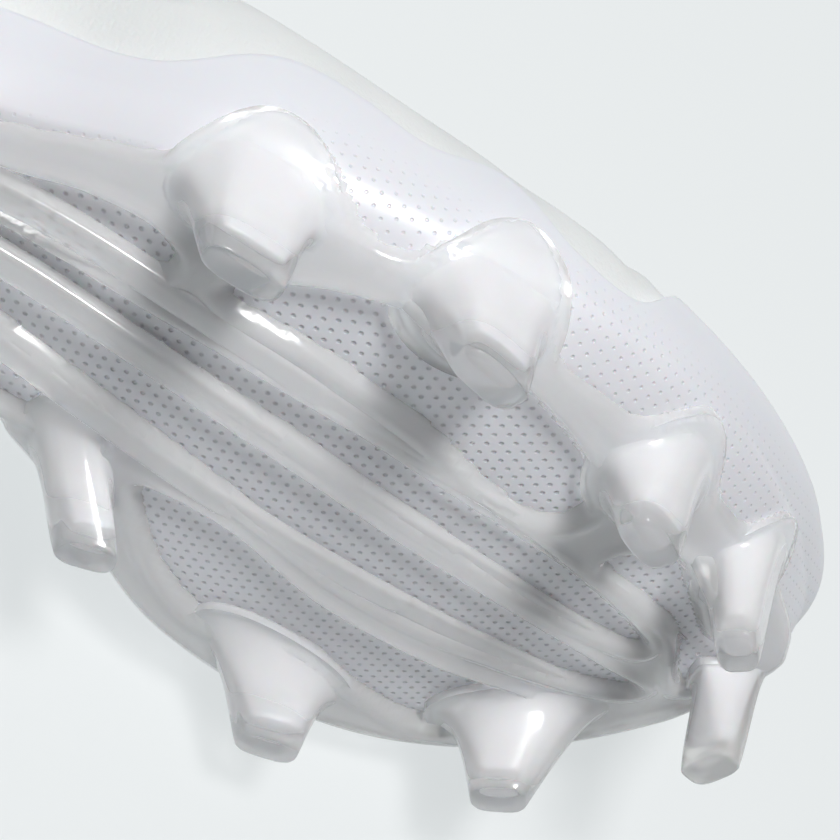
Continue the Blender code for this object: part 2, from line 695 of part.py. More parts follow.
def upper_wall(t, h):
    """Thickness of the upper: thin, and padded round the collar."""
    place = min(t % LOOP, mirrored(t))
    around = 1 - smoothstep(THROAT_START - 1.2, THROAT_START - 0.2, place)
    up = smoothstep(COLLAR_START, 0.82, h) * (1 - 0.5 * smoothstep(0.93, 1.0, h))
    return UPPER_WALL + COLLAR_PADDING * around * up


def upper_share(t, row):
    """Height share of the upper's row: the first ones stand in the chassis."""
    if row <= WALL_STEPS:
        return height_share(t, wall_level(t, row) - wall_level(t, 0))
    start = height_share(t, chassis_edge(t) - wall_level(t, 0))
    return start + (1 - start) * FREE_ROWS[row - WALL_STEPS - 1]


def upper_row(row, offset):
    """Row of the upper's surface, moved along its normal by an offset."""
    def point(t):
        h = upper_share(t, row)
        return skin_point(t, h, offset(t, row, h))
    return point


def build_upper(parent):
    """The hollow upper, open at the collar, the throat and underneath."""
    count = WALL_STEPS + 1 + len(FREE_ROWS)
    rows = [upper_row(row, overlay) for row in range(count)]
    rows += [upper_row(row, lambda t, row, h: -upper_wall(t, h)) for row in reversed(range(count))]
    mesh = wrapped_mesh("upper", rows, closed_section=True, open_rim=count - 1)
    upper = new_object("upper", mesh, parent)
    holes = new_object("eyelet_holes", eyelet_mesh(), parent)
    boolean(upper, holes, "DIFFERENCE", "MANIFOLD")
    upper.data.materials.append(material("cream_synthetic", (0.82, 0.84, 0.84), 0.42))
    return upper


def eyelet_places(side):
    """Loop place and height share of each eyelet, from the throat's front to the top."""
    places = []
    front = VAMP_START - EYELET_FRONT
    back = THROAT_START + EYELET_BACK
    for k in range(EYELET_ROWS):
        place = front + (back - front) * k / (EYELET_ROWS - 1)
        t = place if side < 0 else LOOP - place
        edge = skin_point(t, 1.0, 0.0)
        h = min((0.80 + 0.005 * n for n in range(40)),
                key=lambda h: abs((skin_point(t, h, 0.0) - edge).length - EYELET_INSET))
        places.append((t, h))
    return places


def eyelet_mesh():
    """Twelve short pins that punch the eyelets."""
    bm = bmesh.new()
    for side in (-1, 1):
        for t, h in eyelet_places(side):
            normal = last_normal(t, h)
            turn = Vector((0, 0, 1)).rotation_difference(normal).to_matrix().to_4x4()
            place = Matrix.Translation(skin_point(t, h, -0.5 * UPPER_WALL)) @ turn
            bmesh.ops.create_cone(bm, cap_ends=True, segments=6, radius1=EYELET_RADIUS,
                                  radius2=EYELET_RADIUS, depth=8 * MM, matrix=place)
    mesh = bpy.data.meshes.new("eyelet_holes")
    bm.to_mesh(mesh)
    bm.free()
    return mesh


def build_insole(parent):
    """The insole on the chassis' floor, inside the upper."""
    margin = -(UPPER_WALL + 2 * CLEARANCE)
    low = FLOOR_THICKNESS + CLEARANCE
    rows = [plate_row(0.0, margin, low), plate_row(0.96, margin, low),
            plate_row(0.97, margin, low + INSOLE_THICKNESS * 0.8),
            plate_row(0.93, margin, low + INSOLE_THICKNESS),
            plate_row(0.0, margin, low + INSOLE_THICKNESS)]
    insole = new_object("insole", wrapped_mesh("insole", rows), parent)
    insole.data.materials.append(material("grey_sockliner", (0.55, 0.56, 0.58), 0.8))
    return insole


def tongue_section(t, depth):
    """Points across the tongue at a station, from the outer to the inner side."""
    sides = []
    for place in (t, LOOP - t):
        side = []
        for row in range(EYESTAY_ROW, WALL_STEPS + 1 + len(FREE_ROWS)):
            h = upper_share(place, row)
            side.append(skin_point(place, h, -upper_wall(place, h) - depth))
        sides.append(side)
    outer, inner = sides
    gap = inner[-1] - outer[-1]
    crown = (outer[-1] + inner[-1]) / 2 + Vector((0, 0, 0.08 * gap.length))
    return outer + [crown] + list(reversed(inner))


def build_tongue(parent):
    """The padded tongue under the throat, its top past the upper eyelets."""
    sections = []
    for k in range(TONGUE_ROWS + 1):
        t = VAMP_START - (k + 1) / SPAN_COLUMNS
        sections.append((tongue_section(t, TONGUE_GAP),
                         tongue_section(t, TONGUE_GAP + TONGUE_THICKNESS)))
    above, below = sections[0]
    root = [point + TONGUE_ROOT for point in above]
    thinner = [a + (b - a) * 0.5 for a, b in zip(root, [point + TONGUE_ROOT for point in below])]
    sections.insert(0, (root, thinner))
    above, below = sections[-1]
    middle = (above[0] + above[-1]) / 2
    for row in TONGUE_TOPS:
        narrow = Matrix.Diagonal((1.0, row.width, 1.0))
        top = [middle + narrow @ (point - middle) + TONGUE_TOP * row.along for point in above]
        sections.append((top, [a + (d - c) * row.thickness
                               for a, c, d in zip(top, above, below)]))
    bm = bmesh.new()
    rings = [[bm.verts.new(p) for p in above + list(reversed(below))] for above, below in sections]
    loops = [[bm.edges.new((r[i], r[(i + 1) % len(r)])) for i in range(len(r))] for r in rings]
    for near, far in zip(loops, loops[1:]):
        bmesh.ops.bridge_loops(bm, edges=near + far)
    for end in (rings[0], rings[-1]):
        width = len(end) // 2
        for i in range(width - 1):
            bm.faces.new((end[i], end[i + 1], end[-2 - i], end[-1 - i]))
    bmesh.ops.recalc_face_normals(bm, faces=bm.faces)
    mesh = bpy.data.meshes.new("tongue")
    bm.to_mesh(mesh)
    bm.free()
    tongue = new_object("tongue", mesh, parent)
    tongue.data.materials.append(material("cream_mesh", (0.80, 0.81, 0.80), 0.8))
    return tongue


def lace_mesh(name, start, end, start_up, end_up):
    """A flat bar of lace from eyelet to eyelet, arched over the tongue."""
    middle_up = (start_up + end_up).normalized()
    span = end - start
    leave = (span - start_up * span.dot(start_up)).normalized() * span.length * LACE_HANDLE
    arrive = (span - end_up * span.dot(end_up)).normalized() * span.length * LACE_HANDLE
    handles = (start, start + leave, end - arrive, end)
    bm = bmesh.new()
    rings = []
    for k in range(LACE_STEPS + 1):
        u = k / LACE_STEPS
        a, b, c, d = handles
        spot = a * (1 - u) ** 3 + b * 3 * u * (1 - u) ** 2 + c * 3 * u * u * (1 - u) + d * u ** 3
        ahead = (b - a) * (1 - u) ** 2 + (c - b) * 2 * u * (1 - u) + (d - c) * u * u
        up = start_up.lerp(end_up, u).lerp(middle_up, 1 - abs(2 * u - 1)).normalized()
        across = ahead.cross(up).normalized()
        up = across.cross(ahead).normalized()
        section = []
        for wide, high in ((-0.5, 0), (0.5, 0), (0.5, 1), (-0.5, 1)):
            section.append(bm.verts.new(spot + across * LACE_WIDTH * wide + up * LACE_THICKNESS * high))
        rings.append(section)
    loops = [[bm.edges.new((r[i], r[(i + 1) % 4])) for i in range(4)] for r in rings]
    for near, far in zip(loops, loops[1:]):
        bmesh.ops.bridge_loops(bm, edges=near + far)
    bm.faces.new(rings[0])
    bm.faces.new(rings[-1])
    bmesh.ops.recalc_face_normals(bm, faces=bm.faces)
    mesh = bpy.data.meshes.new(name)
    bm.to_mesh(mesh)
    bm.free()
    return mesh


def build_laces(parent):
    """Straight bars of lace across the throat, one for each pair of eyelets."""
    cloth = material("white_lace", (0.85, 0.86, 0.86), 0.85)
    laces = []
    for k, (outer, inner) in enumerate(zip(eyelet_places(-1), eyelet_places(1))):
        name = f"lace_bar_{k + 1}"
        lift = OVERLAY_STEP + LACE_LIFT + LACE_LIFT_STEP * k
        mesh = lace_mesh(name, skin_point(*outer, lift), skin_point(*inner, lift),
                         last_normal(*outer), last_normal(*inner))
        bar = new_object(name, mesh, parent)
        bar.data.materials.append(cloth)
        laces.append(bar)
    return laces


def hull_of(pieces):
    """Convex hull around the pieces' evaluated meshes, in the shoe's frame."""
    depsgraph = bpy.context.evaluated_depsgraph_get()
    bm = bmesh.new()
    for piece in pieces:
        evaluated = piece.evaluated_get(depsgraph)
        for vertex in evaluated.to_mesh().vertices:
            bm.verts.new(vertex.co)
        evaluated.to_mesh_clear()
    hull = bmesh.ops.convex_hull(bm, input=bm.verts, use_existing_faces=False)
    loose = [item for item in hull["geom_interior"] if isinstance(item, bmesh.types.BMVert)]
    bmesh.ops.delete(bm, geom=loose, context="VERTS")
    bmesh.ops.recalc_face_normals(bm, faces=bm.faces)
    return bm


def resting_facet(hull, centre):
    """Normal of the hull's facet that the shoe rests on when it is laid on its inner side."""
    towards = Vector((0.0, 1.0, 0.0))
    best = None
    for face in hull.faces:
        if face.normal.dot(towards) < 0.6:
            continue
        reach = face.normal.dot(face.verts[0].co - centre)
        under = centre + face.normal * reach
        corners = [vertex.co for vertex in face.verts]
        turns = [(b - a).cross(under - a).dot(face.normal)
                 for a, b in zip(corners, corners[1:] + corners[:1])]
        if min(turns) >= -1e-9 and (best is None or reach < best[0]):
            best = (reach, face.normal.copy())
    return best[1]


def lay_down(shoe, pieces):
    """Turn the shoe onto its inner side, toe towards +x, its box centred over the origin."""
    hull = hull_of(pieces)
    centre = Vector(REST_CENTRE)
    down = resting_facet(hull, centre)
    turn = down.rotation_difference(Vector((0, 0, -1))).to_matrix()
    heading = turn @ Vector((1, 0, 0))
    turn = Matrix.Rotation(-math.atan2(heading.y, heading.x), 3, "Z") @ turn
    corners = [turn @ vertex.co for vertex in hull.verts]
    hull.free()
    low = Vector([min(corner[axis] for corner in corners) for axis in range(3)])
    high = Vector([max(corner[axis] for corner in corners) for axis in range(3)])
    shift = Vector((-(low.x + high.x) / 2, -(low.y + high.y) / 2, -low.z))
    shoe.matrix_world = Matrix.Translation(shift) @ turn.to_4x4()


def main():
    """Build the shoe and lay it on its inner side."""
    for item in list(bpy.data.objects):
        bpy.data.objects.remove(item, do_unlink=True)
    shoe = bpy.data.objects.new("shoe", None)
    bpy.context.collection.objects.link(shoe)
    pieces = [build_chassis(shoe), build_cage(shoe), build_upper(shoe), build_insole(shoe),
              build_tongue(shoe), *build_laces(shoe)]
    for piece in pieces:
        smooth(piece)
    lay_down(shoe, pieces)


if __name__ == "__main__":
    main()
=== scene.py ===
"""American football cleat for the right foot, lying on its inner side on a pale floor.

The shoe is modelled in its own frame: x runs from the heel to the toe, y towards the
inner (big toe) side, z from the stud tips up to the collar. RestPlace lays it down.
"""

import logging
import math
from dataclasses import dataclass
from enum import Enum
from functools import lru_cache

import bmesh
import bpy
import numpy as np
from mathutils import Matrix, Vector

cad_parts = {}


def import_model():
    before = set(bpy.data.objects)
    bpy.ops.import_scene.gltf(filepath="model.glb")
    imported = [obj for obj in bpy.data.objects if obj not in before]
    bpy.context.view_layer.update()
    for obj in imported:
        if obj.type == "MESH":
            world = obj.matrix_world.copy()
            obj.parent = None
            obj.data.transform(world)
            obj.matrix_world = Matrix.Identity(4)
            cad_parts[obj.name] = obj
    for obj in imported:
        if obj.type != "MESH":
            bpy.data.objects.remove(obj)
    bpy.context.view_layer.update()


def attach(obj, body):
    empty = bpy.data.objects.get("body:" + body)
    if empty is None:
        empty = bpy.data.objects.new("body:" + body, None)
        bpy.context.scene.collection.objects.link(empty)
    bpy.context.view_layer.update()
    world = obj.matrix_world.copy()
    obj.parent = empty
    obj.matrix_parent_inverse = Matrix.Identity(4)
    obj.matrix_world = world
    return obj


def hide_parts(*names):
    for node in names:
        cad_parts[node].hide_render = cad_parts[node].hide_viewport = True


log = logging.getLogger("cleat")

MM = 0.001

# one row for each section, heel to toe, as shares of the driving sizes: the plate's edge on
# the outer side (x, y) and the inner side (x, y), the edge of the collar and throat or the
# ridge of the closed vamp (x, half width, rise), the bulge on the outer and the inner side
STATIONS = (
    (0.010, 0.000, 0.010, 0.000, 0.016, 0.000, 1.09, 0.7, 0.7),
    (0.038, -0.205, 0.038, 0.195, 0.040, 0.165, 1.06, 0.7, 0.7),
    (0.125, -0.315, 0.125, 0.300, 0.130, 0.270, 0.84, 0.8, 0.8),
    (0.245, -0.300, 0.245, 0.262, 0.235, 0.275, 0.80, 1.0, 1.0),
    (0.370, -0.292, 0.370, 0.190, 0.330, 0.215, 0.93, 1.8, 1.8),
    (0.480, -0.335, 0.480, 0.150, 0.420, 0.150, 1.00, 2.0, 2.0),
    (0.580, -0.470, 0.580, 0.230, 0.520, 0.135, 0.92, 1.3, 1.3),
    (0.700, -0.510, 0.690, 0.420, 0.625, 0.100, 0.77, 1.2, 1.0),
    (0.800, -0.465, 0.800, 0.500, 0.708, 0.000, 0.67, 1.7, 1.0),
    (0.885, -0.345, 0.885, 0.450, 0.800, 0.000, 0.59, 2.2, 1.0),
    (0.958, -0.165, 0.958, 0.295, 0.880, 0.000, 0.52, 2.3, 1.0),
    (1.000, 0.040, 1.000, 0.040, 0.935, 0.000, 0.45, 1.9, 1.0),
)
SPANS = len(STATIONS) - 1
LOOP = 2 * SPANS

# underside of the plate: x as a share of the length, then shares of heel rise, arch rise
# and toe spring
PROFILE = (
    (0.00, 1.3, 0.0, 0.00), (0.12, 1.0, 0.0, 0.00), (0.26, 1.4, 0.0, 0.00),
    (0.40, 0.0, 1.0, 0.00), (0.50, 0.0, 0.9, 0.00), (0.60, 0.0, 0.3, 0.00),
    (0.69, 0.0, 0.0, 0.00), (0.79, 0.0, 0.0, 0.13), (0.90, 0.0, 0.0, 0.50),
    (1.00, 0.0, 0.0, 1.00),
)

# scalloped upper edge of the white side wall: x, then its height on each side as shares
CHASSIS_EDGE = (
    (0.00, 0.90, 0.90), (0.10, 0.80, 0.80), (0.25, 0.55, 0.60), (0.38, 0.60, 0.75),
    (0.48, 0.66, 0.82), (0.535, 0.58, 0.88), (0.585, 0.98, 0.90), (0.62, 0.98, 0.80),
    (0.655, 0.86, 0.75), (0.70, 1.00, 0.75), (0.735, 0.66, 0.85), (0.775, 0.58, 0.95),
    (0.81, 0.98, 0.85), (0.86, 0.86, 0.70), (0.92, 0.80, 0.85), (1.00, 0.75, 0.75),
)


def smoothstep(low: float, high: float, value: np.ndarray) -> np.ndarray:
    """Smooth 0 to 1 as value goes from low to high."""
    u = np.clip((np.asarray(value, float) - low) / (high - low), 0.0, 1.0)
    return u * u * (3 - 2 * u)


def catmull(a: np.ndarray, b: np.ndarray, c: np.ndarray, d: np.ndarray,
            u: np.ndarray) -> np.ndarray:
    """Value between b and c at share u."""
    return 0.5 * (2 * b + (c - a) * u + (2 * a - 5 * b + 4 * c - d) * u * u
                  + (3 * b - a - 3 * c + d) * u ** 3)


def unit(vectors: np.ndarray) -> np.ndarray:
    """Vectors scaled to length 1."""
    length = np.linalg.norm(vectors, axis=-1, keepdims=True)
    return vectors / np.maximum(length, 1e-12)


@dataclass(frozen=True)
class ShoeForm:
    """The last and plate that every piece follows, in metres in the shoe's own frame."""

    length: float = 290 * MM
    ball_width: float = 96 * MM
    instep_height: float = 60 * MM
    stud_length: float = 12 * MM
    toe_spring: float = 17 * MM
    arch_rise: float = 7 * MM
    heel_rise: float = 3 * MM
    camber: float = 2.2 * MM
    edge_lift: float = 3.0 * MM
    edge_start: float = 0.78
    bulge: float = 3.0 * MM
    clearance: float = 0.3 * MM
    floor: float = 2.8 * MM
    lip_height: float = 20 * MM
    wall_foot: float = 2.0 * MM     # side wall at the plate
    wall_lip: float = 1.0 * MM      # side wall at its upper edge
    fullness: float = 0.86          # below 1 the section is boxier than an ellipse
    open_sweep: float = 0.62        # share of the quarter turn that an open section makes
    closing: float = 2.5            # stations over which the section closes
    vamp_start: float = 8.0         # station at which the two sides meet
    throat_start: float = 4.2
    ridge_y: float = 0.035

    def along(self, rows: tuple, values: np.ndarray, x: np.ndarray) -> np.ndarray:
        """Value of a table at x, smooth between its rows.

        Args:
            rows: table whose first column is x as a share of the length.
            values: the value of each row.
            x: places in metres.

        Returns:
            The values at those places.
        """
        xs = np.array([row[0] for row in rows]) * self.length
        x = np.clip(x, xs[0], xs[-1] - 1e-9)
        i = np.clip(np.searchsorted(xs, x, side="right") - 1, 0, len(xs) - 2)
        u = (x - xs[i]) / (xs[i + 1] - xs[i])
        last = len(xs) - 1
        return catmull(values[np.maximum(i - 1, 0)], values[i], values[i + 1],
                       values[np.minimum(i + 2, last)], u)

    def plate_z(self, x: np.ndarray) -> np.ndarray:
        """Underside of the plate at x."""
        table = np.array(PROFILE)
        rise = (self.stud_length + table[:, 1] * self.heel_rise
                + table[:, 2] * self.arch_rise + table[:, 3] * self.toe_spring)
        return self.along(PROFILE, rise, x)

    def station(self, t: np.ndarray) -> np.ndarray:
        """Sizes at loop places: x, y, top x, top y, rise and bulge, in metres.

        Args:
            t: loop places, 0 at the heel's back, 11 at the toe, round the outer side.

        Returns:
            An array with a last axis of six sizes.
        """
        table = self.table()
        t = np.asarray(t, float)
        k = np.floor(t).astype(int)
        u = (t - k)[..., None]
        return catmull(table[(k - 1) % LOOP], table[k % LOOP], table[(k + 1) % LOOP],
                       table[(k + 2) % LOOP], u)

    @lru_cache
    def table(self) -> np.ndarray:
        """Sizes at the stations, all round the loop."""
        rows = []
        for k in range(LOOP):
            outer = k <= SPANS
            (x_out, y_out, x_in, y_in, top_x, top_half, rise, bulge_out,
             bulge_in) = STATIONS[k if outer else LOOP - k]
            ridge = self.ridge_y * float(smoothstep(0.5, 1.0, top_x))
            rows.append(((x_out if outer else x_in) * self.length,
                         (y_out if outer else y_in) * self.ball_width,
                         top_x * self.length,
                         (ridge + (-top_half if outer else top_half)) * self.ball_width,
                         rise * self.instep_height,
                         (bulge_out if outer else bulge_in) * self.bulge))
        return np.array(rows)

    def mirrored(self, t: np.ndarray) -> np.ndarray:
        """The same station on the other side of the foot."""
        return np.mod(LOOP - np.asarray(t, float), LOOP)

    def place(self, t: np.ndarray) -> np.ndarray:
        """Station number of a loop place on either side."""
        return np.minimum(np.mod(t, LOOP), self.mirrored(t))

    def foot(self, t: np.ndarray) -> np.ndarray:
        """Edge of the plate in plan."""
        return self.station(t)[..., :2]

    def outward(self, t: np.ndarray) -> np.ndarray:
        """Unit normal of the plate's edge in plan."""
        step = self.foot(np.asarray(t) + 0.05) - self.foot(np.asarray(t) - 0.05)
        return unit(np.stack([step[..., 1], -step[..., 0]], -1))

    def spine(self, t: np.ndarray) -> np.ndarray:
        """Middle of the plate between a place and its mirrored place."""
        middle = (self.foot(t) + self.foot(self.mirrored(t))) / 2
        centre = np.array([0.5 * self.length, 0.0])
        return centre + (middle - centre) * 0.9

    def plate_point(self, t: np.ndarray, share: np.ndarray, margin: float,
                    lift: float) -> np.ndarray:
        """Point of the plate from its spine (share 0) to its edge widened by margin."""
        share = np.asarray(share, float) + 0 * np.asarray(t, float)
        edge = self.foot(t) + self.outward(t) * margin
        spine = self.spine(t)
        plan = spine + (edge - spine) * share[..., None]
        border = np.maximum((share - self.edge_start) / (1 - self.edge_start), 0.0)
        z = (self.plate_z(plan[..., 0]) + self.camber * share ** 2
             + self.edge_lift * border ** 2 + lift)
        return np.concatenate([plan, z[..., None]], -1)

    def last_point(self, t: np.ndarray, h: np.ndarray) -> np.ndarray:
        """Outer surface of the upper, from the plate's edge (h 0) to its top (h 1)."""
        t, h = np.broadcast_arrays(np.asarray(t, float), np.asarray(h, float))
        sizes = self.station(t)
        twin = self.station(self.mirrored(t))
        closed = (self.place(t) >= self.vamp_start - 1e-6)[..., None]
        top = np.where(closed, (sizes[..., 2:5] + twin[..., 2:5]) / 2, sizes[..., 2:5])
        x, y, swell = sizes[..., 0], sizes[..., 1], sizes[..., 5]
        foot_z = (self.plate_z(x) + self.camber + self.edge_lift + self.floor
                  + self.clearance)
        top_z = self.plate_z(top[..., 0]) + top[..., 2]
        sweep = self.open_sweep + (1 - self.open_sweep) * smoothstep(
            self.vamp_start - self.closing, self.vamp_start, self.place(t))
        end = 0.4999 * math.pi * sweep
        inward = ((1 - np.cos(h * end) ** self.fullness)
                  / (1 - np.cos(end) ** self.fullness))
        rising = np.sin(np.maximum(h, 0.0) * end) / np.sin(end)
        upward = rising ** self.fullness
        swell = swell * np.sin(math.pi * np.clip(h * 1.25, 0.0, 1.0))
        out = self.outward(t) * swell[..., None]
        return np.stack([x + (top[..., 0] - x) * inward + out[..., 0],
                         y + (top[..., 1] - y) * inward + out[..., 1],
                         foot_z + (top_z - foot_z) * upward], -1)

    def last_normal(self, t: np.ndarray, h: np.ndarray) -> np.ndarray:
        """Outward normal of the upper's surface, taken a little off its foot and ridge."""
        t, h = np.broadcast_arrays(np.asarray(t, float), np.asarray(h, float))
        step, foot, ridge = 0.02, 0.004, 0.96
        middle = np.minimum(h, 0.97)
        run = self.last_point(t + step, middle) - self.last_point(t - step, middle)
        climb = (self.last_point(t, np.minimum(h + step, 0.985))
                 - self.last_point(t, np.clip(h - step, foot, ridge)))
        return unit(np.cross(run, climb))

    def skin_point(self, t: np.ndarray, h: np.ndarray, offset: np.ndarray) -> np.ndarray:
        """Point at a distance outside the upper's surface."""
        t, h, offset = np.broadcast_arrays(np.asarray(t, float), np.asarray(h, float),
                                           np.asarray(offset, float))
        point = self.last_point(t, h) + self.last_normal(t, h) * offset[..., None]
        other = self.mirrored(t)
        twin = self.last_point(other, h) + self.last_normal(other, h) * offset[..., None]
        ridge = ((h > 0.999) & (self.place(t) >= self.vamp_start - 1e-6))[..., None]
        return np.where(ridge, (point + twin) / 2, point)

    def height_share(self, t: np.ndarray, height: np.ndarray) -> np.ndarray:
        """Height share h of a height above the upper's foot, found by halving."""
        t, height = np.broadcast_arrays(np.asarray(t, float), np.asarray(height, float))
        low = np.zeros(t.shape)
        high = np.ones(t.shape)
        base = self.last_point(t, low)[..., 2]
        for _ in range(18):
            middle = (low + high) / 2
            under = self.last_point(t, middle)[..., 2] - base < height
            low = np.where(under, middle, low)
            high = np.where(under, high, middle)
        return low

    def chassis_wall(self, height: np.ndarray) -> np.ndarray:
        """Thickness of the white side wall at a height above the plate's edge."""
        thinner = (self.wall_foot - self.wall_lip) * smoothstep(0, self.lip_height, height)
        return self.wall_foot - thinner

    def chassis_edge(self, t: np.ndarray) -> np.ndarray:
        """Height of the white side wall's upper edge."""
        x = self.foot(t)[..., 0]
        table = np.array(CHASSIS_EDGE)
        outer = self.along(CHASSIS_EDGE, table[:, 1], x)
        inner = self.along(CHASSIS_EDGE, table[:, 2], x)
        return self.lip_height * np.where(np.mod(t, LOOP) <= SPANS, outer, inner)

    def wall_point(self, t: np.ndarray, level: np.ndarray, offset: np.ndarray) -> np.ndarray:
        """Point of the side wall at a height above the plate's edge, off the upper."""
        start = self.edge_lift + self.floor + self.clearance
        t, level = np.broadcast_arrays(np.asarray(t, float), np.asarray(level, float))
        share = self.height_share(t, level - start)
        point = self.skin_point(t, share, offset)
        point[..., 2] -= np.maximum(start - level, 0.0)
        return point


FORM = ShoeForm()


@dataclass(frozen=True)
class RestPlace:
    """How the shoe lies: the direction of its own frame that points down, and its shift."""

    down: tuple = (-0.06612, 0.94900, 0.30828)
    shift: tuple = (-0.14728, -0.04138, 0.04227)

    def matrix(self) -> Matrix:
        """Turn and shift from the shoe's own frame to the floor, toe towards +x."""
        turn = Vector(self.down).rotation_difference(Vector((0, 0, -1))).to_matrix()
        heading = turn @ Vector((1, 0, 0))
        turn = Matrix.Rotation(-math.atan2(heading.y, heading.x), 3, "Z") @ turn
        return Matrix.Translation(self.shift) @ turn.to_4x4()

    def up(self) -> tuple:
        """Direction from the stud tips to the collar, laid down."""
        return tuple(self.matrix().to_3x3().col[2])

    def ground(self) -> float:
        """Place of the plane of the stud tips along that direction."""
        return Vector(self.up()).dot(Vector(self.shift))

    def apply(self, points: np.ndarray) -> np.ndarray:
        """Points of the shoe's own frame, laid down."""
        matrix = np.array(self.matrix())
        return np.asarray(points) @ matrix[:3, :3].T + matrix[:3, 3]


REST = RestPlace()


def skin(points: np.ndarray, close_rows: bool = False, plan: np.ndarray | None = None,
         marks: dict | None = None, gap: np.ndarray | None = None) -> bmesh.types.BMesh:
    """A skin over a table of points, closed round its columns and laid down with the shoe.

    Args:
        points: array of rows, columns and coordinates in the shoe's own frame.
        close_rows: join the last row to the first.
        plan: pattern coordinates of each point in millimetres.
        marks: named values of each point that the materials read.
        gap: points between which no face is made.

    Returns:
        A bmesh with merged seams and outward faces.
    """
    placed = REST.apply(points)
    rows, columns = points.shape[:2]
    tall = rows if close_rows else rows - 1
    bm = bmesh.new()
    bmesh.ops.create_grid(bm, x_segments=columns, y_segments=tall, size=0.5)
    bm.verts.ensure_lookup_table()
    layers = {name: bm.verts.layers.float.new(name) for name in (marks or {})}
    where = []
    for index, vertex in enumerate(bm.verts):
        row = (index // (columns + 1)) % rows
        column = (index % (columns + 1)) % columns
        where.append((row, column))
        vertex.co = placed[row, column]
        for name, layer in layers.items():
            vertex[layer] = marks[name][row, column]
    if plan is not None:
        bm.verts.index_update()
        layer = bm.loops.layers.uv.new("plan")
        for face in bm.faces:
            for loop in face.loops:
                loop[layer].uv = plan[where[loop.vert.index]]
    if gap is not None:
        bm.verts.index_update()
        between = [face for face in bm.faces
                   if all(gap[where[vertex.index]] for vertex in face.verts)]
        bmesh.ops.delete(bm, geom=between, context="FACES_ONLY")
    bmesh.ops.remove_doubles(bm, verts=bm.verts, dist=0.004 * MM)
    bmesh.ops.dissolve_degenerate(bm, edges=bm.edges, dist=0.002 * MM)
    bmesh.ops.recalc_face_normals(bm, faces=bm.faces)
    return bm


def loft(rings: list) -> bmesh.types.BMesh:
    """A closed tube through rings of points of the shoe's own frame."""
    bm = bmesh.new()
    made = [[bm.verts.new(point) for point in REST.apply(ring)] for ring in rings]
    loops = [[bm.edges.new((r[i], r[(i + 1) % len(r)])) for i in range(len(r))] for r in made]
    for near, far in zip(loops, loops[1:]):
        bmesh.ops.bridge_loops(bm, edges=near + far)
    for ring in (made[0], made[-1]):
        bm.faces.new(ring)
    bmesh.ops.recalc_face_normals(bm, faces=bm.faces)
    return bm


def to_object(bm: bmesh.types.BMesh, name: str, sharp: float = 50.0) -> bpy.types.Object:
    """Turn a bmesh into a linked object at the origin, smooth but for sharp edges."""
    mesh = bpy.data.meshes.new(name)
    bm.to_mesh(mesh)
    bm.free()
    mesh.shade_smooth()
    mesh.set_sharp_from_angle(angle=math.radians(sharp))
    item = bpy.data.objects.new(name, mesh)
    bpy.context.collection.objects.link(item)
    return item


def dress(item: bpy.types.Object, finishes: list, slot: str, *nodes: str) -> bpy.types.Object:
    """Give a piece its materials and body, and hide the solids that it stands for."""
    for finish in finishes:
        item.data.materials.append(finish)
    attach(item, "root")
    if nodes:
        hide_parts(*nodes)
    faces = sum(len(p.vertices) - 2 for p in item.data.polygons)
    log.info("%s: %d triangles", item.name, faces)
    return item


def combine(base: bpy.types.Object, others: list, operation: str) -> None:
    """Join or cut solids for good, and drop the ones that only guide.

    Args:
        base: the piece that is changed.
        others: the pieces that are joined to it or cut from it.
        operation: UNION or DIFFERENCE.
    """
    for other in others:
        step = base.modifiers.new("fit", "BOOLEAN")
        step.operation = operation
        step.object = other
        step.solver = "MANIFOLD"
    depsgraph = bpy.context.evaluated_depsgraph_get()
    made = bpy.data.meshes.new_from_object(base.evaluated_get(depsgraph))
    base.modifiers.clear()
    base.data = made
    for other in others:
        bpy.data.objects.remove(other, do_unlink=True)


def linear(code: str) -> tuple:
    """Linear colour with alpha of an sRGB hex value."""
    channels = [int(code[k:k + 2], 16) / 255 for k in (1, 3, 5)]
    return (*[c / 12.92 if c <= 0.04045 else ((c + 0.055) / 1.055) ** 2.4
              for c in channels], 1.0)


def add_node(tree: bpy.types.NodeTree, kind: str, inputs: dict | None = None,
             **settings) -> bpy.types.Node:
    """Add a shader node.

    Args:
        tree: the material's node tree.
        kind: the node's type.
        inputs: values or output sockets for its inputs, by name or index.
        settings: values of its own properties.

    Returns:
        The node.
    """
    node = tree.nodes.new(kind)
    for name, value in settings.items():
        setattr(node, name, value)
    for name, value in (inputs or {}).items():
        if isinstance(value, bpy.types.NodeSocket):
            tree.links.new(value, node.inputs[name])
        else:
            node.inputs[name].default_value = value
    return node


def new_material(name: str) -> tuple:
    """A material with an empty tree, and its output node."""
    made = bpy.data.materials.new(name)
    made.use_nodes = True
    made.node_tree.nodes.clear()
    return made, made.node_tree, add_node(made.node_tree, "ShaderNodeOutputMaterial")


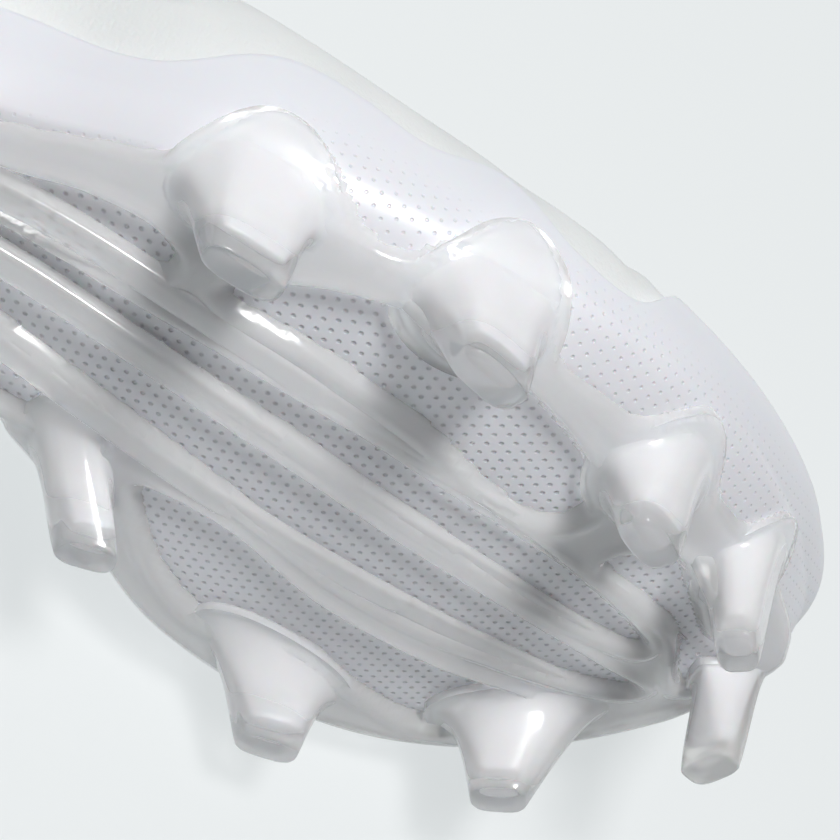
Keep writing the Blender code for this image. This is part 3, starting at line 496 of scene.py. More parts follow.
@dataclass(frozen=True)
class MouldedWhite:
    """Injection moulded white polyurethane: satin, cool white, pressed dimples with painted
    shade in their pits.
    """

    colour: str = "#eeeef4"
    # painted shade: the colour that the dimples' pits are painted, the real pits being the
    # same white
    pit_and_painted_shade: str = "#d2d2d8"
    roughness: float = 0.33
    pitch_mm: float = 2.0           # from one dimple to the next
    turn_deg: float = 32.0
    smallest: float = 0.12          # radius of a faded dimple, as a share of the pitch
    largest: float = 0.22           # radius of a full dimple
    bottom: float = 0.06            # radius of its flat bottom
    depth: float = 0.3 * MM
    dimple: bool = True

    def build(self) -> bpy.types.Material:
        """The material; its dimples stand in a hexagonal lattice on the plan map, with painted
        shade in their pits.
        """
        made, tree, out = new_material("moulded_white_polyurethane")
        shader = add_node(tree, "ShaderNodeBsdfPrincipled", {
            "Base Color": linear(self.colour), "Roughness": self.roughness,
            "IOR": 1.5, "Subsurface Weight": 0.12, "Subsurface Scale": 0.004})
        if self.dimple:
            plan = add_node(tree, "ShaderNodeUVMap", uv_map="plan").outputs[0]
            turned = add_node(tree, "ShaderNodeVectorRotate", {
                "Vector": plan, "Angle": math.radians(self.turn_deg)},
                rotation_type="Z_AXIS").outputs[0]
            cells = add_node(tree, "ShaderNodeVectorMath", {
                0: turned, 1: (1 / self.pitch_mm, 1 / self.pitch_mm / math.sqrt(3), 0)},
                operation="MULTIPLY").outputs[0]
            reach = []
            for shift in ((0.0, 0.0, 0.0), (0.5, 0.5, 0.0)):
                moved = add_node(tree, "ShaderNodeVectorMath", {0: cells, 1: shift},
                                 operation="ADD").outputs[0]
                part = add_node(tree, "ShaderNodeVectorMath", {0: moved},
                                operation="FRACTION").outputs[0]
                centred = add_node(tree, "ShaderNodeVectorMath", {0: part, 1: (0.5, 0.5, 0)},
                                   operation="SUBTRACT").outputs[0]
                sized = add_node(tree, "ShaderNodeVectorMath",
                                 {0: centred, 1: (1.0, math.sqrt(3), 0)},
                                 operation="MULTIPLY").outputs[0]
                reach.append(add_node(tree, "ShaderNodeVectorMath", {0: sized},
                                      operation="LENGTH").outputs["Value"])
            nearest = add_node(tree, "ShaderNodeMath", {0: reach[0], 1: reach[1]},
                               operation="MINIMUM").outputs[0]
            strength = add_node(tree, "ShaderNodeAttribute",
                                attribute_name="dimple").outputs["Fac"]
            wide = add_node(tree, "ShaderNodeMapRange", {
                "Value": strength, "To Min": self.smallest,
                "To Max": self.largest}).outputs[0]
            bowl = add_node(tree, "ShaderNodeMapRange", {
                "Value": nearest, "From Min": self.bottom, "From Max": wide,
                "To Min": 1.0, "To Max": 0.0}, interpolation_type="SMOOTHSTEP").outputs[0]
            pit_and_painted_shade = add_node(tree, "ShaderNodeMath", {0: bowl, 1: strength},
                           operation="MULTIPLY", use_clamp=True).outputs[0]
            # painted shade: the colour darkens towards each pit's bottom, as deep as the bump
            # goes
            shade = add_node(tree, "ShaderNodeMix", {"Factor": pit_and_painted_shade}, data_type="RGBA")
            for name, value in (("A", self.colour), ("B", self.pit_and_painted_shade)):
                socket = [s for s in shade.inputs if s.name == name and s.type == "RGBA"][0]
                socket.default_value = linear(value)
            colour = [s for s in shade.outputs if s.type == "RGBA"][0]
            tree.links.new(colour, shader.inputs["Base Color"])
            bump = add_node(tree, "ShaderNodeBump", {
                "Strength": 0.8, "Distance": self.depth, "Height": pit_and_painted_shade}, invert=True)
            tree.links.new(bump.outputs[0], shader.inputs["Normal"])
        tree.links.new(shader.outputs[0], out.inputs["Surface"])
        return made


@dataclass(frozen=True)
class ClearPolyurethane:
    """Clear injected polyurethane: glossy and water-white, a little milky where thick."""

    colour: str = "#f5f5f3"
    thick: str = "#f0f1f0"
    roughness: float = 0.15
    clear: float = 0.66             # transmission of the cage
    tip_clear: float = 0.76         # transmission of the stud tips
    tip_from: float = 3.5 * MM      # height above the tips at which the milkiness starts
    tip_to: float = 8.0 * MM        # height above the tips at which it is full
    tint_band: tuple = (3.0 * MM, 7.0 * MM)
    ripple_scale: float = 90.0
    shadow: float = 0.50            # light that a shadow ray keeps

    def build(self) -> bpy.types.Material:
        """The material; lamps pass through it as they do through the real one."""
        made, tree, out = new_material("clear_polyurethane")
        place = add_node(tree, "ShaderNodeTexCoord").outputs["Object"]
        ripple = add_node(tree, "ShaderNodeTexNoise", {
            "Vector": place, "Scale": self.ripple_scale, "Detail": 2.0}).outputs["Fac"]
        bump = add_node(tree, "ShaderNodeBump", {
            "Strength": 0.25, "Distance": 0.3 * MM, "Height": ripple})
        above = add_node(tree, "ShaderNodeVectorMath", {0: place, 1: Vector(REST.up())},
                         operation="DOT_PRODUCT").outputs["Value"]
        clear = add_node(tree, "ShaderNodeMapRange", {
            "Value": above, "From Min": REST.ground() + self.tip_from,
            "From Max": REST.ground() + self.tip_to, "To Min": self.tip_clear,
            "To Max": self.clear}, interpolation_type="SMOOTHSTEP").outputs[0]
        tint = add_node(tree, "ShaderNodeMapRange", {
            "Value": above, "From Min": REST.ground() + self.tint_band[0],
            "From Max": REST.ground() + self.tint_band[1]}).outputs[0]
        shade = add_node(tree, "ShaderNodeValToRGB", {"Fac": tint})
        shade.color_ramp.elements[0].color = linear(self.thick)
        shade.color_ramp.elements[1].color = linear(self.colour)
        shader = add_node(tree, "ShaderNodeBsdfPrincipled", {
            "Base Color": shade.outputs[0], "Roughness": self.roughness, "IOR": 1.5,
            "Transmission Weight": clear, "Normal": bump.outputs[0]})
        through = add_node(tree, "ShaderNodeBsdfTransparent",
                           {"Color": (self.shadow, self.shadow, self.shadow, 1)})
        lamp = add_node(tree, "ShaderNodeLightPath").outputs["Is Shadow Ray"]
        mixed = add_node(tree, "ShaderNodeMixShader", {
            0: lamp, 1: shader.outputs[0], 2: through.outputs[0]})
        tree.links.new(mixed.outputs[0], out.inputs["Surface"])
        return made


@dataclass(frozen=True)
class GrainedSynthetic:
    """Polyurethane-coated synthetic: cream white, finely grained, glossier where bonded."""

    colour: str = "#f1f3f3"
    shade: str = "#e7eaea"
    roughness: float = 0.46
    welded: float = 0.2             # roughness where the overlay is welded on
    grain_mm: float = 0.9
    grain_turn: tuple = (0.3, 0.5, math.radians(38))
    grain_stretch: tuple = (1.0, 0.38, 1.0)
    fine_scale: float = 1400.0
    cloud_scale: float = 34.0

    def build(self) -> bpy.types.Material:
        """The material; its grain runs diagonally over the foot."""
        made, tree, out = new_material("grained_synthetic_leather")
        place = add_node(tree, "ShaderNodeTexCoord").outputs["Object"]
        turned = add_node(tree, "ShaderNodeMapping", {
            "Vector": place, "Rotation": self.grain_turn,
            "Scale": self.grain_stretch}).outputs[0]
        grain = add_node(tree, "ShaderNodeTexVoronoi", {
            "Vector": turned, "Scale": 1 / (self.grain_mm * MM)},
            feature="DISTANCE_TO_EDGE").outputs["Distance"]
        fine = add_node(tree, "ShaderNodeTexNoise", {
            "Vector": place, "Scale": self.fine_scale, "Detail": 4.0}).outputs["Fac"]
        soft = add_node(tree, "ShaderNodeTexNoise", {
            "Vector": place, "Scale": self.cloud_scale, "Detail": 3.0}).outputs["Fac"]
        height = add_node(tree, "ShaderNodeMath", {0: grain, 1: 0.6, 2: fine},
                          operation="MULTIPLY_ADD").outputs[0]
        bump = add_node(tree, "ShaderNodeBump", {
            "Strength": 0.42, "Distance": 0.25 * MM, "Height": height})
        shade = add_node(tree, "ShaderNodeValToRGB", {"Fac": soft})
        shade.color_ramp.elements[0].color = linear(self.shade)
        shade.color_ramp.elements[0].position = 0.30
        shade.color_ramp.elements[1].color = linear(self.colour)
        shade.color_ramp.elements[1].position = 0.62
        bonded = add_node(tree, "ShaderNodeAttribute", attribute_name="bonded").outputs["Fac"]
        gloss = add_node(tree, "ShaderNodeMapRange", {
            "Value": bonded, "To Min": self.roughness, "To Max": self.welded}).outputs[0]
        shader = add_node(tree, "ShaderNodeBsdfPrincipled", {
            "Base Color": shade.outputs[0], "Roughness": gloss, "IOR": 1.48,
            "Normal": bump.outputs[0], "Subsurface Weight": 0.05,
            "Subsurface Scale": 0.002, "Sheen Weight": 0.05})
        coat = add_node(tree, "ShaderNodeMath", {0: bonded, 1: 0.7},
                        operation="MULTIPLY").outputs[0]
        tree.links.new(coat, shader.inputs["Coat Weight"])
        shader.inputs["Coat Roughness"].default_value = 0.1
        tree.links.new(shader.outputs[0], out.inputs["Surface"])
        return made


@dataclass(frozen=True)
class KnitFabric:
    """Polyester spacer knit: matte, with small round loops in rows and painted shade in their
    hollows.
    """

    name: str
    colour: str
    # painted shade: the colour painted into the loops' hollows
    hollow: str
    pitch_mm: float = 1.6
    roughness: float = 0.85

    def build(self) -> bpy.types.Material:
        """The material; its loops are round cells a little darker in between, painted shade
        where the bump is low.
        """
        made, tree, out = new_material(self.name)
        place = add_node(tree, "ShaderNodeTexCoord").outputs["Object"]
        loops = add_node(tree, "ShaderNodeTexVoronoi", {
            "Vector": place, "Scale": 1 / (self.pitch_mm * MM), "Randomness": 0.35},
            feature="F1").outputs["Distance"]
        shade = add_node(tree, "ShaderNodeValToRGB", {"Fac": loops})
        shade.color_ramp.elements[0].color = linear(self.hollow)
        shade.color_ramp.elements[0].position = 0.12
        shade.color_ramp.elements[1].color = linear(self.colour)
        shade.color_ramp.elements[1].position = 0.42
        bump = add_node(tree, "ShaderNodeBump", {
            "Strength": 0.7, "Distance": 0.4 * MM, "Height": loops})
        shader = add_node(tree, "ShaderNodeBsdfPrincipled", {
            "Base Color": shade.outputs[0], "Roughness": self.roughness,
            "Normal": bump.outputs[0], "Sheen Weight": 0.25, "Sheen Roughness": 0.5})
        tree.links.new(shader.outputs[0], out.inputs["Surface"])
        return made


@dataclass(frozen=True)
class WovenBand:
    """Flat woven polyester lace or bound tape: a plait that follows the piece's own map."""

    name: str
    colour: str = "#f1f1ef"
    # painted shade: the colour painted into the grooves where the plait is low
    dark: str = "#d3d4d3"
    thread_mm: float = 0.7
    lean_deg: float = 38.0          # how far each thread leans from the band's length

    def build(self) -> bpy.types.Material:
        """The material; its threads cross as a fine herringbone along the band, with painted
        shade in the grooves between them.
        """
        made, tree, out = new_material(self.name)
        plan = add_node(tree, "ShaderNodeUVMap", uv_map="plan").outputs[0]
        bands = []
        for angle in (self.lean_deg, -self.lean_deg):
            turned = add_node(tree, "ShaderNodeVectorRotate", {
                "Vector": plan, "Angle": math.radians(angle)},
                rotation_type="Z_AXIS").outputs[0]
            bands.append(add_node(tree, "ShaderNodeTexWave", {
                "Vector": turned, "Scale": 0.5 / self.thread_mm, "Distortion": 0.0},
                bands_direction="X").outputs["Fac"])
        plait = add_node(tree, "ShaderNodeMath", {0: bands[0], 1: bands[1]},
                         operation="MULTIPLY").outputs[0]
        shade = add_node(tree, "ShaderNodeValToRGB", {"Fac": plait})
        shade.color_ramp.elements[0].color = linear(self.dark)
        shade.color_ramp.elements[1].color = linear(self.colour)
        shade.color_ramp.elements[1].position = 0.45
        bump = add_node(tree, "ShaderNodeBump", {
            "Strength": 0.8, "Distance": 0.3 * MM, "Height": plait})
        shader = add_node(tree, "ShaderNodeBsdfPrincipled", {
            "Base Color": shade.outputs[0], "Roughness": 0.8,
            "Normal": bump.outputs[0], "Sheen Weight": 0.2, "Sheen Roughness": 0.5})
        tree.links.new(shader.outputs[0], out.inputs["Surface"])
        return made


@dataclass
class Surface:
    """A table of points over the white chassis, with distances that the cage follows."""

    t: np.ndarray
    points: np.ndarray
    normals: np.ndarray
    reach: np.ndarray       # distance along the skin from the start of the rounded border
    plan: np.ndarray        # unrolled pattern coordinates in millimetres

    def sample(self, t: float, reach: float) -> tuple:
        """Point and normal at a loop place and a distance along the skin."""
        spot = np.mod(t, LOOP) / LOOP * self.points.shape[1]
        near = int(spot) % self.points.shape[1]
        far = (near + 1) % self.points.shape[1]
        share = spot - int(spot)
        found = []
        for column in (near, far):
            row = np.interp(reach, self.reach[:, column], np.arange(self.points.shape[0]))
            k = min(int(row), self.points.shape[0] - 2)
            u = row - k
            found.append((self.points[k, column] * (1 - u) + self.points[k + 1, column] * u,
                          self.normals[k, column]))
        point = found[0][0] * (1 - share) + found[1][0] * share
        return point, unit(found[0][1] * (1 - share) + found[1][1] * share)


@dataclass
class Chassis:
    """The white moulding: dimpled bottom, rounded border, scalloped side walls, cores."""

    columns: int = 600
    plate_rows: int = 54
    border_rows: int = 16
    wall_rows: int = 16
    border_start: float = 0.86      # share from the spine to the plate's edge
    border_end: float = 7.5 * MM    # height at which the border has become side wall
    corner_in: float = 0.4 * MM     # how far the border's corner is cut in
    corner_up: float = 0.3 * MM
    lip: float = 0.35 * MM          # rise of the side wall's rounded upper edge
    lip_turns: tuple = (35, 75, 115, 150)   # degrees round that edge
    inner_foot: float = 6 * MM      # height at which the wall's inside starts
    lid_shares: tuple = (1.0, 0.9, 0.5, 0.0)
    arch_share: tuple = (0.34, 0.46)    # the dimples start here, as shares of the length
    ball_share: tuple = (0.56, 0.62)    # and stay stronger up the wall from here
    dimples_from: float = 7 * MM    # reach over the border at which the dimples fade
    dimples_to: float = 17 * MM

    def surface(self) -> Surface:
        """Outer skin of the chassis from the spine to the upper edge of its side wall."""
        t = np.arange(self.columns) * LOOP / self.columns
        margin = FORM.clearance + FORM.wall_foot
        shares = np.linspace(0, self.border_start, self.plate_rows + 1)
        rows = [FORM.plate_point(t, share, margin, 0.0) for share in shares]
        start = rows[-1]
        corner = FORM.plate_point(t, 1.0, margin - self.corner_in, self.corner_up)
        top = FORM.chassis_edge(t)
        end_level = np.minimum(self.border_end, top * 0.6)
        end = FORM.wall_point(t, end_level, FORM.clearance + FORM.chassis_wall(end_level))
        for u in np.linspace(0, 1, self.border_rows + 1)[1:]:
            rows.append(start * (1 - u) ** 2 + corner * 2 * u * (1 - u) + end * u * u)
        for u in np.linspace(0, 1, self.wall_rows + 1)[1:]:
            level = end_level + (top - end_level) * u
            rows.append(FORM.wall_point(t, level, FORM.clearance + FORM.chassis_wall(level)))
        points = np.array(rows)
        step = np.linalg.norm(np.diff(points, axis=0), axis=-1)
        reach = np.concatenate([np.zeros((1, self.columns)), np.cumsum(step, axis=0)])
        reach = reach - reach[self.plate_rows]
        over = np.maximum(reach, 0.0)[..., None] * FORM.outward(t)[None]
        base = np.minimum(np.arange(len(rows)), self.plate_rows)
        plan = (points[base][..., :2] + over) / MM
        run = np.roll(points, -1, axis=1) - np.roll(points, 1, axis=1)
        climb = np.gradient(points, axis=0)
        climb[0] = climb[1]
        return Surface(t, points, unit(np.cross(run, climb)), reach, plan)

    def build(self, finish: bpy.types.Material) -> Surface:
        """Make the chassis with its walls' rounded upper edge and its floor.

        Args:
            finish: the dimpled white material.

        Returns:
            The outer skin, which the cage lies on.
        """
        outer = self.surface()
        t = outer.t
        top = FORM.chassis_edge(t)
        rim = []
        for turn in self.lip_turns:
            angle = math.radians(turn)
            level = top + self.lip * math.sin(angle)
            wall = FORM.chassis_wall(top)
            off = FORM.clearance + wall * (0.5 + 0.5 * math.cos(angle))
            rim.append(FORM.wall_point(t, level, off))
        inner = [FORM.wall_point(t, top * k / 4 + self.inner_foot * (1 - k / 4),
                                 FORM.clearance) for k in (4, 3, 2, 1)]
        lid = [FORM.plate_point(t, share, FORM.clearance, FORM.floor)
               for share in self.lid_shares]
        rows = [*outer.points, *rim, *inner, *lid]
        more = len(rows) - len(outer.points)
        plan = np.concatenate([outer.plan, np.repeat(outer.plan[-1:], more, axis=0)])
        strength = np.concatenate([self.dimples(outer), np.zeros((more, len(t)))])
        bm = skin(np.array(rows), plan=plan, marks={"dimple": strength})
        dress(to_object(bm, "chassis_shell"), [finish], "white_tpu", "chassis")
        return outer

    def dimples(self, outer: Surface) -> np.ndarray:
        """Strength of the dimples and of their painted pit shade: none under the cage or at
        the heel, faint up the wall.
        """
        share = outer.points[..., 0] / FORM.length
        fade = 1 - smoothstep(self.dimples_from, self.dimples_to, outer.reach)
        covered, _ = Cage(outer).inside()
        wall = 1 - smoothstep(-4 * MM, 1 * MM, outer.reach) * (
            1 - 0.42 * smoothstep(*self.ball_share, share))
        return (wall * fade * smoothstep(*self.arch_share, share)
                * (1 - smoothstep(-0.6 * MM, 0.8 * MM, covered)))


class Side(Enum):
    """The two sides of the foot, with the loop's direction on each."""

    OUTER = 1
    INNER = -1

    def loop(self, place: float | np.ndarray) -> float | np.ndarray:
        """Loop place of a station number on this side."""
        return place if self is Side.OUTER else LOOP - place

    def other(self) -> "Side":
        """The opposite side."""
        return Side(-self.value)


@dataclass(frozen=True)
class Stud:
    """A stud: its tip in plan as shares, its blade, foot and web up the side, in mm."""

    name: str
    x: float
    y: float
    turn: float         # degrees from the shoe's length
    length: float
    width: float
    spread: float       # half the foot along the plate's edge
    inside: float       # the foot towards the middle of the plate
    web: float          # peak of the web above the start of the rounded border
    behind: float       # run of the web towards the heel
    ahead: float        # run of the web towards the toe


STUDS = (
    Stud("a", 0.593, -0.450, 5, 11, 5, 12, 10, 11.5, 12, 16),
    Stud("b", 0.708, -0.490, 15, 11, 6, 12, 10, 15.5, 15, 13),
    Stud("c", 0.827, -0.350, 25, 10, 6, 12, 10, 8.0, 12, 12),
    Stud("d", 0.913, -0.215, 45, 9, 6, 10, 9, 8.0, 9, 9),
    Stud("e", 0.618, 0.180, -15, 9, 6, 12, 9, 9.0, 14, 14),
    Stud("f", 0.764, 0.422, -12, 10, 6, 17, 10, 10.0, 15, 15),
    Stud("g", 0.891, 0.330, -35, 9, 7, 18, 11, 9.0, 16, 16),
    Stud("h", 0.969, 0.070, -75, 9, 6, 9, 8, 7.0, 10, 10),
    Stud("heel_a", 0.085, -0.215, -20, 9, 7, 12, 9, 8.0, 12, 12),
    Stud("heel_b", 0.085, 0.205, 20, 9, 7, 12, 9, 8.0, 12, 12),
    Stud("heel_c", 0.205, -0.235, 5, 9, 7, 12, 9, 8.0, 12, 12),
    Stud("heel_d", 0.205, 0.210, -5, 9, 7, 12, 9, 8.0, 12, 12),
)

# how far the clear rail climbs from the start of the rounded border between two studs, in
# millimetres, at shares of the length
RAIL = ((0.00, 1.0), (0.48, -2.0), (0.55, -0.5), (0.64, 1.6), (0.78, -0.6), (1.00, 0.5))

# the three long ribs: x as shares of the length and y of the width at back, middle and front
RIBS = (
    ("outer", 0.38, -0.150, 0.66, -0.225, 0.935, 0.005),
    ("middle", 0.36, -0.055, 0.66, -0.100, 0.960, 0.130),
    ("inner", 0.38, 0.005, 0.66, 0.065, 0.935, 0.205),
)

# clear fins that run back from a stud to a corner of the rail
FINS = (("b", 0.664, -0.425), ("d", 0.882, -0.205))

# openings through the cage, corners in order as shares of the length and the width
OPENINGS = (
    ((0.30, -0.19), (0.42, -0.218), (0.49, -0.243), (0.53, -0.288), (0.563, -0.306),
     (0.578, -0.272), (0.54, -0.196), (0.50, -0.186), (0.40, -0.178)),
    ((0.30, 0.070), (0.42, 0.050), (0.53, 0.052), (0.575, 0.052), (0.600, 0.084),
     (0.577, 0.110), (0.548, 0.134), (0.50, 0.125), (0.40, 0.112)),
    ((0.40, -0.125), (0.52, -0.165), (0.66, -0.185), (0.77, -0.155), (0.86, -0.060),
     (0.91, 0.030), (0.84, -0.005), (0.76, -0.075), (0.66, -0.130), (0.52, -0.130)),
    ((0.40, -0.030), (0.52, -0.075), (0.66, -0.065), (0.76, -0.010), (0.86, 0.070),
     (0.935, 0.155), (0.85, 0.150), (0.76, 0.115), (0.66, 0.035), (0.52, -0.015)),
    ((0.605, -0.285), (0.635, -0.370), (0.68, -0.420), (0.715, -0.415), (0.755, -0.380),
     (0.795, -0.315), (0.815, -0.235), (0.80, -0.180), (0.765, -0.200), (0.72, -0.255),
     (0.66, -0.285)),
    ((0.635, 0.125), (0.635, 0.165), (0.665, 0.270), (0.705, 0.335), (0.735, 0.310),
     (0.760, 0.300), (0.800, 0.360), (0.840, 0.395), (0.868, 0.370), (0.885, 0.260),
     (0.82, 0.235), (0.74, 0.185), (0.68, 0.120)),
    ((0.850, -0.130), (0.875, -0.190), (0.905, -0.120), (0.940, -0.020), (0.970, 0.020),
     (0.965, 0.120), (0.950, 0.090), (0.915, -0.040)),
)


def closed_curve(corners: tuple, steps: int) -> np.ndarray:
    """Rounded outline through corners given as shares of the length and the width."""
    places = np.array(corners) * (FORM.length, FORM.ball_width)
    u = (np.arange(steps) / steps)[:, None]
    pieces = [catmull(*(places[(k + step) % len(places)] for step in (-1, 0, 1, 2)), u)
              for k in range(len(places))]
    return np.concatenate(pieces)


def signed_distance(points: np.ndarray, outline: np.ndarray) -> np.ndarray:
    """Distance to a closed outline in plan, negative inside it."""
    flat = points.reshape(-1, 2)
    nearest = np.full(len(flat), 1e9)
    inside = np.zeros(len(flat), bool)
    for a, b in zip(outline, np.roll(outline, -1, axis=0)):
        edge = b - a
        share = np.clip((flat - a) @ edge / max(edge @ edge, 1e-15), 0, 1)
        nearest = np.minimum(nearest, np.linalg.norm(flat - a - share[:, None] * edge, axis=1))
        crosses = (a[1] > flat[:, 1]) != (b[1] > flat[:, 1])
        with np.errstate(divide="ignore", invalid="ignore"):
            at = a[0] + (flat[:, 1] - a[1]) * edge[0] / edge[1]
        inside ^= crosses & (flat[:, 0] < at)
    return np.where(inside, -nearest, nearest).reshape(points.shape[:-1])


@dataclass
class Cage:
    """The clear cage over the chassis: rails, ribs, webs, fins and the studs' skins."""

    surface: Surface
    thickness: float = 1.7 * MM
    rise_width: float = 1.9 * MM    # width of the sheet's rounded edge
    bead: float = 0.7 * MM          # raised line round each opening
    bead_mm: tuple = (2.0, 1.3)     # its middle and half width from the opening's edge
    sink: float = 0.45 * MM         # how far the sheet's edge dips into the chassis
    edge_margin: float = 1.2 * MM   # side wall that the webs leave bare
    rail_swell: float = 1.7 * MM    # thicker rail on the inner side of the forefoot
    inner_rail: float = 3.0 * MM    # and how much wider it is
    opening_steps: int = 10
    rib_width: float = 5.2 * MM
    rib_height: float = 2.7 * MM
    rib_steps: int = 220
    rib_notch: float = 0.35 * MM    # step down at each arrow mark of a rib
    rib_marks: tuple = (0.665, 0.775)
    rib_arrow: float = 0.008        # how far an arrow's point is ahead, share of the length
    rib_points: int = 17            # points over the ridge
    rib_taper: tuple = (0.45, 0.30)     # width and height lost at the toe
    rib_ends: tuple = (0.12, 0.06)      # shares in which a rib rises and runs out
    rib_round: tuple = (0.55, 0.45)     # powers of its boxy section, across and down
    rib_root: float = 1.2 * MM      # depth of its root in the chassis
    ring_points: int = 48
    flare_steps: int = 22
    blade_corner: float = 0.62      # 1 is an ellipse, 0 a rectangle
    ball: float = 0.69              # share of the length past which the tips follow the toe
    tip_spring: float = 0.45        # how much of the toe spring they follow
    flare_start: float = 0.34       # how far a stud keeps its tip's width
    flare_end: float = 0.36         # how far its foot runs in before it turns down
    tip_rings: tuple = ((0.80, -0.50 * MM), (0.93, -0.32 * MM))  # dished end: share, drop
    root: float = 0.9 * MM          # depth of a stud's root in the chassis
    fin_steps: int = 15
    fin_mm: tuple = (1.5, 0.5)      # half a fin's thickness, and how much it loses
    fin_bend: float = 1.25
    fin_round: tuple = ((1.0, 1.1), (0.8, 0.4), (0.4, 0.08), (-0.4, 0.08), (-0.8, 0.4),
                        (-1.0, 1.1))    # share across and lift in mm
    core_grow: float = 5.0 * MM
    core_depth: float = 1.3 * MM    # clear skin over the white core's end

    def places(self) -> list:
        """Loop place of the plate's edge next to each stud."""
        t = np.linspace(0, LOOP, 4400, endpoint=False)
        edge = FORM.foot(t)
        found = []
        for stud in STUDS:
            spot = np.array([stud.x * FORM.length, stud.y * FORM.ball_width])
            found.append(t[np.argmin(np.linalg.norm(edge - spot, axis=1))])
        return found

    def edge_reach(self) -> np.ndarray:
        """How far the cage climbs over the border, a low rail with a tent at each stud."""
        edge = FORM.foot(self.surface.t)
        low = self.low_reach(edge[:, 0]) + self.inner_rail * self.inner_side()
        reach = low.copy()
        for stud, place in zip(STUDS, self.places()):
            away = (edge - FORM.foot(np.array(place))) / MM
            side = np.where(away[:, 0] + 0.2 * away[:, 1] * np.sign(stud.y) > 0,
                            stud.ahead, stud.behind)
            tent = smoothstep(0, 1, 1 - np.linalg.norm(away, axis=1) / side) ** 0.9
            reach = np.maximum(reach, low + (stud.web * MM - low) * tent)
        for _ in range(3):
            reach = (np.roll(reach, 1) + reach * 2 + np.roll(reach, -1)) / 4
        return np.minimum(reach, self.surface.reach[-1] - self.edge_margin)

    def inner_side(self) -> np.ndarray:
        """How far each column belongs to the inner side of the forefoot, 0 to 1."""
        t = self.surface.t
        x = FORM.foot(t)[:, 0] / FORM.length
        return np.where(t > SPANS, smoothstep(0.60, 0.70, x) * smoothstep(1.0, 0.97, x), 0.0)

    def low_reach(self, x: np.ndarray) -> np.ndarray:
        """Height of the rail's edge between two studs, from the start of the border."""
        rows = np.array(RAIL)
        return np.interp(x / FORM.length, rows[:, 0], rows[:, 1]) * MM

    def inside(self) -> tuple:
        """Distance of each point into the cage's sheet, and from its openings."""
        form = self.surface
        outside = self.edge_reach()[None] - form.reach
        opening = np.full(form.reach.shape, 1.0)
        for corners in OPENINGS:
            outline = closed_curve(corners, self.opening_steps)
            opening = np.minimum(opening, signed_distance(form.points[..., :2], outline))
        return np.minimum(outside, opening), opening

    def sheet(self) -> bpy.types.Object:
        """The flat webs between the ribs and rails, rounded at every edge."""
        form = self.surface
        inside, opening = self.inside()
        u = np.clip(inside / self.rise_width, -1, 1)
        round_edge = np.sqrt(np.clip(1 - (1 - np.clip(u, 0, 1)) ** 2, 0, 1))
        height = self.thickness * round_edge
        middle, half = self.bead_mm
        height += self.bead * np.exp(-((opening / MM - middle) / half) ** 2) * round_edge
        border = np.exp(-((form.reach - 1.0 * MM) / (4.0 * MM)) ** 2) * self.inner_side()
        height += self.rail_swell * border * round_edge
        height = np.where(u < 0, u * self.sink, height)
        outer = form.points + form.normals * height[..., None]
        inner = form.points - form.normals * (self.sink + 0.25 * MM)
        few = [*range(len(inner) - 1, 0, -4), 0]
        rows = np.concatenate([outer, inner[few]])
        twin = -np.arange(rows.shape[1]) % rows.shape[1]
        for row in (0, -1):
            rows[row] = (rows[row] + rows[row][twin]) / 2
        return to_object(skin(rows), "cage_sheet")

    def rib(self, row: tuple) -> bpy.types.Object:
        """A long rib with a rounded ridge that tapers to the toe."""
        corners = np.array(row[1:]).reshape(3, 2) * (FORM.length, FORM.ball_width)
        bend = corners[1] * 2 - (corners[0] + corners[2]) / 2
        narrower, lower = self.rib_taper
        climb, fall = self.rib_ends
        flank, crown = self.rib_round
        rings = []
        for k in range(self.rib_steps + 1):
            u = k / self.rib_steps
            spot = corners[0] * (1 - u) ** 2 + bend * 2 * u * (1 - u) + corners[2] * u ** 2
            ahead = (bend - corners[0]) * (1 - u) + (corners[2] - bend) * u
            side = np.array([-ahead[1], ahead[0]]) / np.linalg.norm(ahead)
            end = float(smoothstep(0, fall, 1 - u) * smoothstep(0, climb, u))
            half = self.rib_width / 2 * (1 - narrower * u * u) * (0.15 + 0.85 * end)
            base = float(FORM.plate_z(np.array(spot[0])))
            ring = []
            for angle in np.linspace(0, math.pi, self.rib_points):
                across = math.copysign(abs(math.cos(angle)) ** flank, math.cos(angle))
                mark = spot[0] / FORM.length - self.rib_arrow * (1 - abs(across))
                steps = sum(float(smoothstep(-0.001, 0.001, mark - place))
                            for place in self.rib_marks)
                ridge = (self.rib_height * (1 - lower * u) - self.rib_notch * steps) * end
                drop = ridge * math.sin(angle) ** crown
                ring.append((*(spot + side * half * across), base - drop))
            ring += [(*(spot + side * half * share), base + self.rib_root)
                     for share in (-0.9, 0.9)]
            rings.append(ring)
        return to_object(loft(rings), f"rib_{row[0]}")

    def stud_tip(self, stud: Stud) -> tuple:
        """Middle of a stud's tip in plan, and the height of its tip."""
        x = stud.x * FORM.length
        spring = max(float(FORM.plate_z(np.array(x))) - FORM.stud_length, 0.0)
        rise = self.tip_spring * spring if x > self.ball * FORM.length else 0.0
        return np.array([x, stud.y * FORM.ball_width]), rise

    def blade(self, stud: Stud, grow: float) -> np.ndarray:
        """Outline of a stud's tip: a rectangle with well rounded corners."""
        angle = np.linspace(0, 2 * math.pi, self.ring_points, endpoint=False)
        cos, sin = np.cos(angle), np.sin(angle)
        x = (stud.length / 2 * MM + grow) * np.sign(cos) * abs(cos) ** self.blade_corner
        y = (stud.width / 2 * MM + grow) * np.sign(sin) * abs(sin) ** self.blade_corner
        turn = math.radians(stud.turn)
        return np.stack([x * math.cos(turn) - y * math.sin(turn),
                         x * math.sin(turn) + y * math.cos(turn)], -1)

